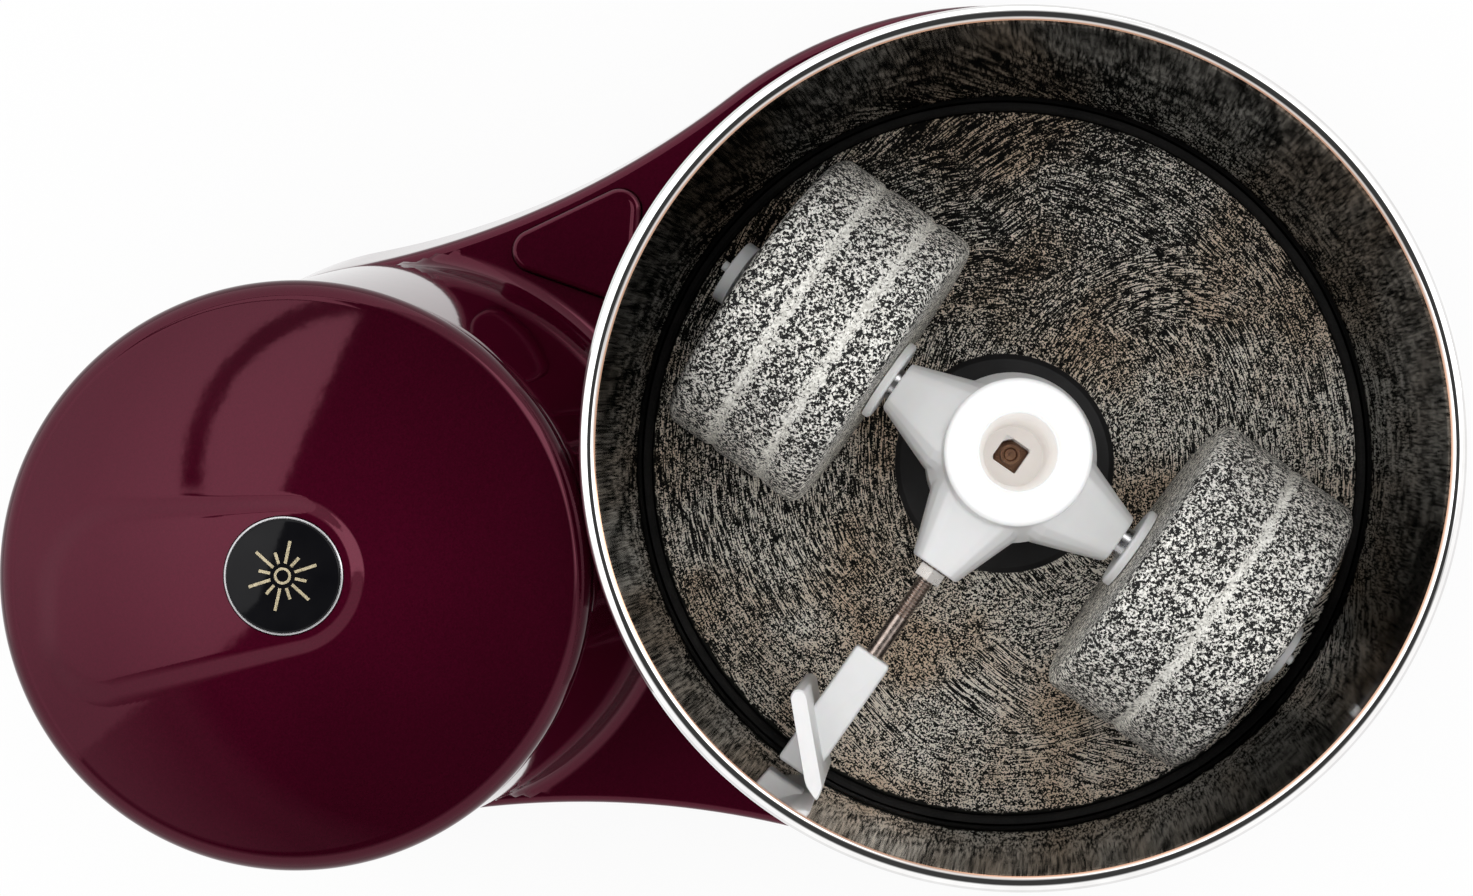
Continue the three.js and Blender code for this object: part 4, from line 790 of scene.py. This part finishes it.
def tongue_rise(points):
    """How high the raised tongue stands at points round the lid's middle: most at the badge,
    least at the lid's edge, with soft sides. Its outline goes round three circles."""
    turn = math.radians(TONGUE_TURN)
    outline = hull_outline([(0, 0, 21.5), (44.5, 4, 25), (51, 16.5, 18.5)], 40)
    c, s = math.cos(turn), math.sin(turn)
    outline = outline @ np.array([[c, s], [-s, c]])
    distance = np.full(len(points), 1e9)
    inside = np.zeros(len(points), bool)
    for p, q in zip(outline, np.roll(outline, -1, axis=0)):
        d = q - p
        length = float(d @ d)
        if length < 1e-12:
            continue
        t = np.clip(((points - p) @ d) / length, 0, 1)
        distance = np.minimum(distance, np.hypot(*(points - p - t[:, None] * d).T))
        crosses = (p[1] > points[:, 1]) != (q[1] > points[:, 1])
        with np.errstate(divide="ignore", invalid="ignore"):
            x = (q[0] - p[0]) * (points[:, 1] - p[1]) / (q[1] - p[1] if q[1] != p[1] else 1e-12) + p[0]
        inside ^= crosses & (points[:, 0] < x)
    signed = np.where(inside, -distance, distance)
    along = points @ np.array([c, s])
    far = np.clip((along + 6) / 76, 0, 1)
    width = 4.6 + 4.0 * far
    share = np.clip((0.6 - signed) / width, 0, 1)
    smooth = share * share * (3 - 2 * share)
    return smooth * (1.95 - 1.3 * far ** 1.3)


def make_lid():
    """The domed lid with its tongue, and the badge: a black disc, a rim and a rosette."""
    count = 400
    radii = np.concatenate([np.linspace(0, BADGE_SEAT_R - 0.05, 22),
                            np.linspace(BADGE_SEAT_R + 0.05, LID_EDGE_X, 90),
                            LID_EDGE_X + LID_EDGE * np.sin(quarter(22))[1:]])
    angles = full_turn(count)
    circle = np.column_stack([np.cos(angles), np.sin(angles)])
    rows = []
    for radius in radii[1:]:
        flat = radius * circle
        if radius <= LID_EDGE_X:
            height = LID_TOP - LID_DOME * (radius / LID_EDGE_X) ** 2
        else:
            height = LID_WAIST + math.sqrt(max(LID_EDGE ** 2 - (radius - LID_EDGE_X) ** 2, 0))
        height = height + tongue_rise(flat)
        if radius < BADGE_SEAT_R:
            height = np.minimum(height, BADGE_SEAT)
        rows.append(np.column_stack([flat, height]))
    for radius, height in ((81.3, 201.5), (81.3, 199), (81.0, 197.2), (80.4, 196.5), (79.8, 196.3),
                           (76.7, 196.3), (76.7, 190), (74.1, 190)):
        rows.append(lift(radius * circle, height))
    points = np.vstack([[[0, 0, BADGE_SEAT]], *rows])
    faces = [(0, 1 + i, 1 + (i + 1) % count) for i in range(count)]
    for level in range(len(rows) - 1):
        a, b = 1 + level * count, 1 + (level + 1) * count
        faces += [(a + i, b + i, b + (i + 1) % count, a + (i + 1) % count) for i in range(count)]
    faces.append(tuple(range(len(points) - count, len(points))))
    middle = (TOWER_X, 0, 0)
    build("tower_lid", moved((points, faces), middle), cherry, "base", "cherry_plastic", "motor_cover")
    low = BADGE_SEAT + 0.05
    disc = rounded([(0, low), (15.45, low), (15.45, low + 2.3, 0.7), (0, low + 2.6)])
    build("lid_badge", moved(lathe(disc, 120), middle), badge_black, "base", "badge_gloss", "badge")
    rim = rounded([(15.5, low), (16.2, low), (16.2, low + 1.5, 0.4), (15.8, low + 1.9, 0.2),
                   (15.5, low + 1.9)])
    build("badge_rim_ring", moved(lathe(rim, 120, ring=True), middle), plain_steel, "base",
          "mirror_steel", "badge_rim")
    # a plain rosette: long and short strokes by turns round a small ring
    top = low + 2.52
    rosette = []
    for i in range(12):
        stroke = rounded_box(3.4, 6.6 if i % 2 else 9.6, -0.42, 0.42, top - 0.1, top + 0.06, 0.05, 2)
        rosette.append(moved(stroke, middle, turn_z(30 * i + 8)))
    ring = [(1.6, top), (2.3, top), (2.3, top + 0.07), (1.6, top + 0.07)]
    rosette.append(moved(lathe(ring, 48, ring=True), middle))
    build("badge_rosette", merged(*rosette), pale_gold, "base", "mirror_steel")


make_lid()


# ---- roller holder ----

def arm_mesh():
    """A tapering arm along X with a flat bottom and round shoulders."""
    def section(width, low, high, along):
        half, drop = width / 2, (high - low) * 0.34
        top = []
        for side, start in ((-1, -math.pi / 2), (1, 0)):
            for a in np.linspace(start, start + math.pi / 2, 5):
                top.append((along, half * (0.45 * side + 0.55 * math.sin(a)),
                            high - drop * (1 - math.cos(a))))
        return [(along, -half, low), *top, (along, half, low)]

    return loft([section(30, 127, 164, 15), section(30, 127, 164, 20),
                 section(15.4, 137.5, 158, ARM_REACH)])


def beside(mesh):
    """Moves a mesh on the axles' line, which passes the hub's middle on the scraper's side."""
    angle = math.radians(SCRAPER_TURN)
    return moved(mesh, (AXLE_SIDE * math.cos(angle), AXLE_SIDE * math.sin(angle), 0))


HUB_TOP = 192.0
BORE_FLOOR = 152.2
SPINDLE_OFF = (0.1, -1.0, 0)


def make_hub():
    """The holder's hub with its three arms, its bore, and the spindle seen in it."""
    outer = [(10.9, HUB_TOP), (20, HUB_TOP), (21, HUB_TOP - 1), (21, 162), (25.5, 150), (25.5, 108.5),
             (14, 108.5), (14, 141), (5.5, 141), (5.5, 150), (10.9, 150)]
    solids = [lathe(outer, 96, ring=True)]
    solids += [beside(moved(arm_mesh(), turn=turn_z(turn))) for turn in (AXLE_TURN, AXLE_TURN + 180)]
    solids.append(moved(arm_mesh(), turn=turn_z(SCRAPER_TURN)))
    hub = build("holder_hub", merged(*solids), nylon, "holder", "nylon", "hub")
    remesh = hub.modifiers.new("union", "REMESH")
    remesh.mode, remesh.voxel_size, remesh.use_smooth_shade = "VOXEL", 0.5 * MM, True
    smooth = hub.modifiers.new("soft", "SMOOTH")
    smooth.factor, smooth.iterations = 0.5, 4
    applied(hub)
    # the bore: a coarse thread that opens upwards, and a floor with a square hole for the spindle
    thread = [(9.1, BORE_FLOOR - 0.7), (9.1, 168)]
    for i in range(5):
        z, radius = 169 + i * 4.1, 9.1 + 0.22 * i
        thread += [(radius + 0.6, z), (radius, z + 1.1), (radius, z + 2.2), (radius + 0.6, z + 3.3)]
    thread += [(10.5, 190.4), (11.4, HUB_TOP - 0.1), (11.7, HUB_TOP + 0.15), (12.2, HUB_TOP + 0.12),
               (12.2, BORE_FLOOR - 0.7)]
    angles = full_turn(64)
    circle = np.column_stack([np.cos(angles), np.sin(angles)])
    half = 4.3
    local = (angles + math.pi / 4) % (math.pi / 2) - math.pi / 4
    square = circle * np.minimum(half / np.cos(local), half * math.sqrt(2) - 0.15)[:, None]
    low = BORE_FLOOR - 11
    plug = loft([lift(11.3 * circle, low), lift(11.3 * circle, BORE_FLOOR), lift(square, BORE_FLOOR),
                 lift(square, low)], close_low=False, close_high=False)
    plug = moved(plug, SPINDLE_OFF, turn_z(SCRAPER_TURN))
    build("hub_bore", merged(lathe(thread, 96, ring=True), plug), glowing_bore_nylon, "holder", "nylon", "hub")
    # the spindle's end: a shoulder, a square and a round nose with a centre dimple
    nose = rounded([(0, 139), (3.1, 139), (3.1, 149.2, 0.5), (2.1, 149.2, 0.2), (1.7, 148.0, 0.3),
                    (0, 147.6)])
    tip = moved(rounded_box(-4, 4, -4, 4, 138, 143.5, 0.5), SPINDLE_OFF, turn_z(SCRAPER_TURN))
    shaft = lathe(rounded([(0, 15), (7.5, 15), (7.5, 140.7, 0.5), (0, 140.7)]), 48)
    spindle = merged(shaft, tip, moved(lathe(nose, 40), SPINDLE_OFF))
    build("spindle_steel", spindle, spindle_steel, "base", "spindle_steel", "spindle")


make_hub()


# (across, depth) of the points of a groove worn into a roller
GROOVE_SHAPE = ((-1.9, 0), (-1.3, 0.25), (-0.4, 0.8), (0.4, 0.8), (1.3, 0.25), (1.9, 0))


def roller_profile(grooves):
    """A drum with rounded edges and shallow worn grooves."""
    edge = [(ROLLER_R - 4.2 + 4.2 * math.sin(a), 3.6 - 3.6 * math.cos(a)) for a in quarter(9)]
    body = [(9.3, 0)] + edge + [(ROLLER_R, 5), (ROLLER_R, 8)]
    for middle in grooves:
        body += [(ROLLER_R - depth, middle + across) for across, depth in GROOVE_SHAPE]
        body.append((ROLLER_R, middle + 5))
    body += [(ROLLER_R, ROLLER_W - 5)]
    return body + [(r, ROLLER_W - z) for r, z in reversed(edge)] + [(9.3, ROLLER_W)]


def make_roller(side, turn, play, grooves, seed):
    """One roller with its bush, cap and axle; parts are made along Z and laid on the axles' line."""
    along, body = turn_z(turn), f"{side}_roller"

    def laid(mesh, start):
        mesh = moved(moved(mesh, turn=LAID), (start, 0, 0))
        return beside(moved(moved(mesh, turn=along), (0, 0, AXLE_Z)))

    # the rim is worn uneven by a few hundredths
    points, faces = lathe(roller_profile(grooves), 240, ring=True)
    rng = np.random.default_rng(seed)
    waves = rng.normal(size=(18, 3)) * 0.45
    phase = rng.uniform(0, 6.28, 18)
    ripple = np.zeros(len(points))
    for wave, shift in zip(waves, phase):
        ripple += np.sin(points @ wave + shift)
    radial = np.hypot(points[:, 0], points[:, 1])
    unit = np.column_stack([points[:, 0] / radial, points[:, 1] / radial, np.zeros(len(points))])
    wear_and_painted_light = np.where(radial > ROLLER_R - 3.5, -0.035, 0.0) * np.abs(ripple)
    points = points + unit * wear_and_painted_light[:, None]
    stone_start = ROLLER_START + play
    build(f"stone_{side}", laid((points, faces), stone_start), roller_granite, body, "roller_granite",
          f"roller_{side}")
    bush = rounded([(5.3, -2.9), (12.2, -2.9, 0.4), (13, -2.2, 0.4), (13, -0.3, 0.4), (9.0, -0.3),
                    (9.0, ROLLER_W), (5.3, ROLLER_W)])
    build(f"bush_{side}", laid(lathe(bush, 72, ring=True), stone_start), nylon, body, "nylon",
          f"roller_bush_{side}")
    face = CAP_START
    cap = rounded([(0, face + 2.2), (5.3, face + 2.2), (5.3, face), (10, face, 0.2), (10, face + 3.6, 0.3),
                   (9.6, face + 3.8, 0.2), (1.5, face + 3.8, 0.3), (1.5, face + 6.5, 0.3), (0, face + 6.8)])
    build(f"cap_{side}", laid(lathe(cap, 64), ROLLER_START), nylon, "holder", "nylon",
          f"roller_cap_{side}")
    inner, end = ARM_REACH - 14 + 0.3 - ROLLER_START, face + 1.9
    axle = rounded([(0, inner), (5, inner, 0.4), (5, end - 0.5, 0.3), (4.5, end, 0.3), (0, end)])
    build(f"axle_{side}", laid(lathe(axle, 48), ROLLER_START), plain_steel, "holder", "steel",
          f"roller_axle_{side}")


make_roller("left", AXLE_TURN, PLAY[0], GROOVES[0], 3)
make_roller("right", AXLE_TURN + 180, PLAY[1], GROOVES[1], 7)


def make_scraper():
    """The third arm's threaded rod, lock nut, block and blade."""
    along = turn_z(SCRAPER_TURN)

    def laid(mesh):
        return moved(moved(moved(mesh, turn=LAID), turn=along), (0, 0, AXLE_Z))

    thread = [(0, 28.5), (2.2, 28.5)]
    z, pitch = ARM_REACH + 4.7, 1.05
    while z < 56.5:
        thread += [(2.2, z), (2.6, z + 0.45), (2.6, z + 0.6), (2.2, z + pitch)]
        z += pitch
    thread += [(2.6, z + 0.3), (2.6, 83.5), (0, 83.5)]
    build("scraper_bolt", laid(lathe(thread, 40)), rod_steel, "holder", "steel", "scraper_rod")
    reach, near, far = 8 / math.sqrt(3), ARM_REACH + 0.4, ARM_REACH + 4.4
    nut = rounded([(2.9, near), (reach, near, 0.2), (reach, far, 0.2), (2.9, far)])
    build("lock_nut", laid(lathe(nut, 6, ring=True)), nut_steel, "holder", "steel", "scraper_nut",
          sharp=20)
    block = moved(rounded_box(72, 113, -6, 6, AXLE_Z - 6, AXLE_Z + 6, 1.2), turn=along)
    # the tall oblique blade: its outline from above has one round and one pointed end
    x, y0, y1, wall = 70.58, 55.4, 87.3, 4.6
    outline = np.vstack([arc(x + wall / 2, y0 + wall / 2, wall / 2, math.pi, 2 * math.pi, 10),
                         [(x + wall, y1 - wall - 1), (x + wall - 0.3, y1 - wall + 0.6),
                          (x + wall * 0.62, y1 - 0.7), (x + wall * 0.5, y1 - 0.1),
                          (x + wall * 0.36, y1 - 0.5), (x + 0.2, y1 - wall / 2 - 0.4),
                          (x, y1 - wall / 2 - 1)]])
    rings = [(101.5, 0.5), (102, 0), (186.4, 0), (187, 0.6)]
    middle = outline.mean(axis=0)

    def shrunk(inset):
        rel = outline - middle
        return middle + rel * (1 - inset / np.hypot(*rel.T))[:, None]

    plate = loft([lift(shrunk(inset), height) for height, inset in rings])
    build("scraper_blade", merged(block, plate), nylon, "holder", "nylon", "scraper_paddle")


make_scraper()


# ---- feet ----

def make_feet():
    for i in range(1, 5):
        low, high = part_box(f"foot_{i}")
        x, y = ((low[axis] + high[axis]) / 2 / MM - SHIFT[axis] for axis in (0, 1))
        foot = rounded([(0, 3), (4.5, 3, 0.3), (4.5, 0, 0.5), (10.2, 0, 0.8), (12, 2, 0.8), (12, 8, 0.5),
                        (3.5, 8), (3.5, 13.3), (0, 13.3)])
        build(f"rubber_foot_{i}", moved(lathe(foot, 64), (x, y, 0)), rubber, "base", "rubber",
              f"foot_{i}")


make_feet()


# ---- floor, light and camera ----

def make_stage():
    """A white floor that shines for the camera and in reflections, and is matt for the light."""
    data = bpy.data.meshes.new("floor")
    size = 6.0
    corners = [(-size, -size, 0), (size, -size, 0), (size, size, 0), (-size, size, 0)]
    data.from_pydata(corners, [], [(0, 1, 2, 3)])
    floor = bpy.data.objects.new("floor", data)
    bpy.context.scene.collection.objects.link(floor)
    m = Finish("floor_white")
    cloud = m.noise(3, 2)
    m.done(Base_Color=m.mix(cloud, (0.88, 0.88, 0.88), (0.9, 0.9, 0.9)), Roughness=0.9)
    path = m.add("ShaderNodeLightPath")
    seen = m.math("MAXIMUM", path.outputs["Is Camera Ray"],
                  m.math("MAXIMUM", path.outputs["Is Glossy Ray"], path.outputs["Is Transmission Ray"]))
    glow = m.put(m.add("ShaderNodeEmission"), {"Color": (1, 1, 1, 1), "Strength": 1.0})
    blend = m.add("ShaderNodeMixShader")
    m.put(blend, {0: m.times(seen, 0.9), 1: m.shader.outputs[0], 2: glow.outputs[0]})
    m.put(m.tree.nodes["Material Output"], {"Surface": blend.outputs[0]})
    data.materials.append(m.material)


def softbox(name, place, aim, width, height, power):
    """A rectangular light that doesn't show in reflections."""
    light = bpy.data.lights.new(name, "AREA")
    light.shape, light.size, light.size_y, light.energy = "RECTANGLE", width, height, power
    obj = bpy.data.objects.new(name, light)
    bpy.context.scene.collection.objects.link(obj)
    obj.location = place
    direction = Vector(aim) - Vector(place)
    obj.rotation_euler = direction.to_track_quat("-Z", "Y").to_euler()
    obj.visible_glossy = False
    return obj


def make_light():
    """A pale room: even light for matt surfaces, and for reflections a dark ceiling with one large
    soft box on the tower's side, brighter towards the horizon."""
    world = bpy.data.worlds.new("studio")
    bpy.context.scene.world = world
    world.use_nodes = True
    w = Nodes(world.node_tree, "Generated")
    split = w.add("ShaderNodeSeparateXYZ")
    w.link(w.place, split.inputs[0])
    up = w.math("MAXIMUM", split.outputs["Z"], 0.02)
    east, north = (w.math("DIVIDE", split.outputs[axis], up) for axis in "XY")
    lean = w.math("SQRT", w.plus(w.times(east, east), w.times(north, north)))

    def side_of(a, b, c, soft):
        """1 on one side of a straight line across the ceiling, 0 on the other."""
        line = w.plus(w.times(east, a), w.times(north, b))
        return w.span(line, c - soft, c + soft)

    def ring(x, y, radius, half):
        """1 on a ring across the ceiling."""
        dx, dy = w.math("SUBTRACT", east, x), w.math("SUBTRACT", north, y)
        far = w.math("SQRT", w.plus(w.times(dx, dx), w.times(dy, dy)))
        return w.span(w.math("ABSOLUTE", w.math("SUBTRACT", far, radius)), half, half + 0.012, 1.0, 0.0)

    # the large soft box, cut by a thin curved bar
    box = w.times(side_of(0.870, -0.493, 0.298, 0.005), side_of(0.447, -0.894, 0.13, 0.006))
    stripe = w.times(ring(0.12, -0.20, 0.285, 0.014), w.span(north, -0.22, -0.19, 1.0, 0.0))
    box = w.times(box, w.math("SUBTRACT", 1.0, stripe))
    box = w.times(box, w.times(w.span(lean, 0.48, 0.68, 2.25, 1.85), w.span(north, -0.15, 0.15, 1.0, 0.7)))
    # the rest of the ceiling brightens outwards, and a low window stands on the drum's side
    sky = w.plus(w.span(lean, 0.46, 0.52, 0.05, 0.28), w.span(lean, 0.56, 0.9, 0.0, 0.95))
    window = w.times(w.span(east, -0.62, -0.36, 3.6, 0.0),
                     w.times(w.span(north, -1.1, -0.9), w.span(north, 0.05, 0.25, 1.0, 0.0)))
    shown = w.math("MAXIMUM", w.math("MAXIMUM", sky, box), window)
    path = w.add("ShaderNodeLightPath")
    level = w.add("ShaderNodeMix", data_type="FLOAT")
    w.put(level, {0: path.outputs["Is Glossy Ray"], 2: w.span(lean, 0.36, 0.6, 1.32, 1.0), 3: shown})
    seen = w.add("ShaderNodeMix", data_type="FLOAT")
    w.put(seen, {0: path.outputs["Is Camera Ray"], 2: level.outputs[0], 3: 1.0})
    w.put(w.tree.nodes["Background"], {"Color": (1, 1, 1, 1), "Strength": seen.outputs[0]})
    softbox("box_left", (0.62, -0.35, 1.0), (0.1, 0, 0.1), 0.75, 0.9, 0.9)
    softbox("box_right", (-0.85, 0.3, 0.9), (-0.05, 0, 0.1), 0.6, 0.9, 0.6)
    softbox("box_top", (-0.06, 0.03, 0.88), (-0.0755, 0.017, 0.1), 0.2, 0.2, 0.36)


def make_camera():
    """An overhead camera, its view shifted and turned a little as in the photograph."""
    data = bpy.data.cameras.new("camera")
    data.lens, data.sensor_width, data.sensor_fit = 57.5, 36.0, "HORIZONTAL"
    data.shift_x, data.shift_y = -0.112, 0.067
    data.clip_start, data.clip_end = 0.01, 50
    camera = bpy.data.objects.new("camera", data)
    bpy.context.scene.collection.objects.link(camera)
    right, up = Vector((-0.9854, 0.1702, 0)), Vector((-0.1702, -0.9854, 0))
    turn = Matrix((right, up, right.cross(up))).transposed().to_4x4()
    camera.matrix_world = Matrix.Translation((-0.0386, 0.0376, 0.852)) @ turn
    bpy.context.scene.camera = camera


make_stage()
make_light()
make_camera()
bpy.context.scene.view_settings.view_transform = "Standard"
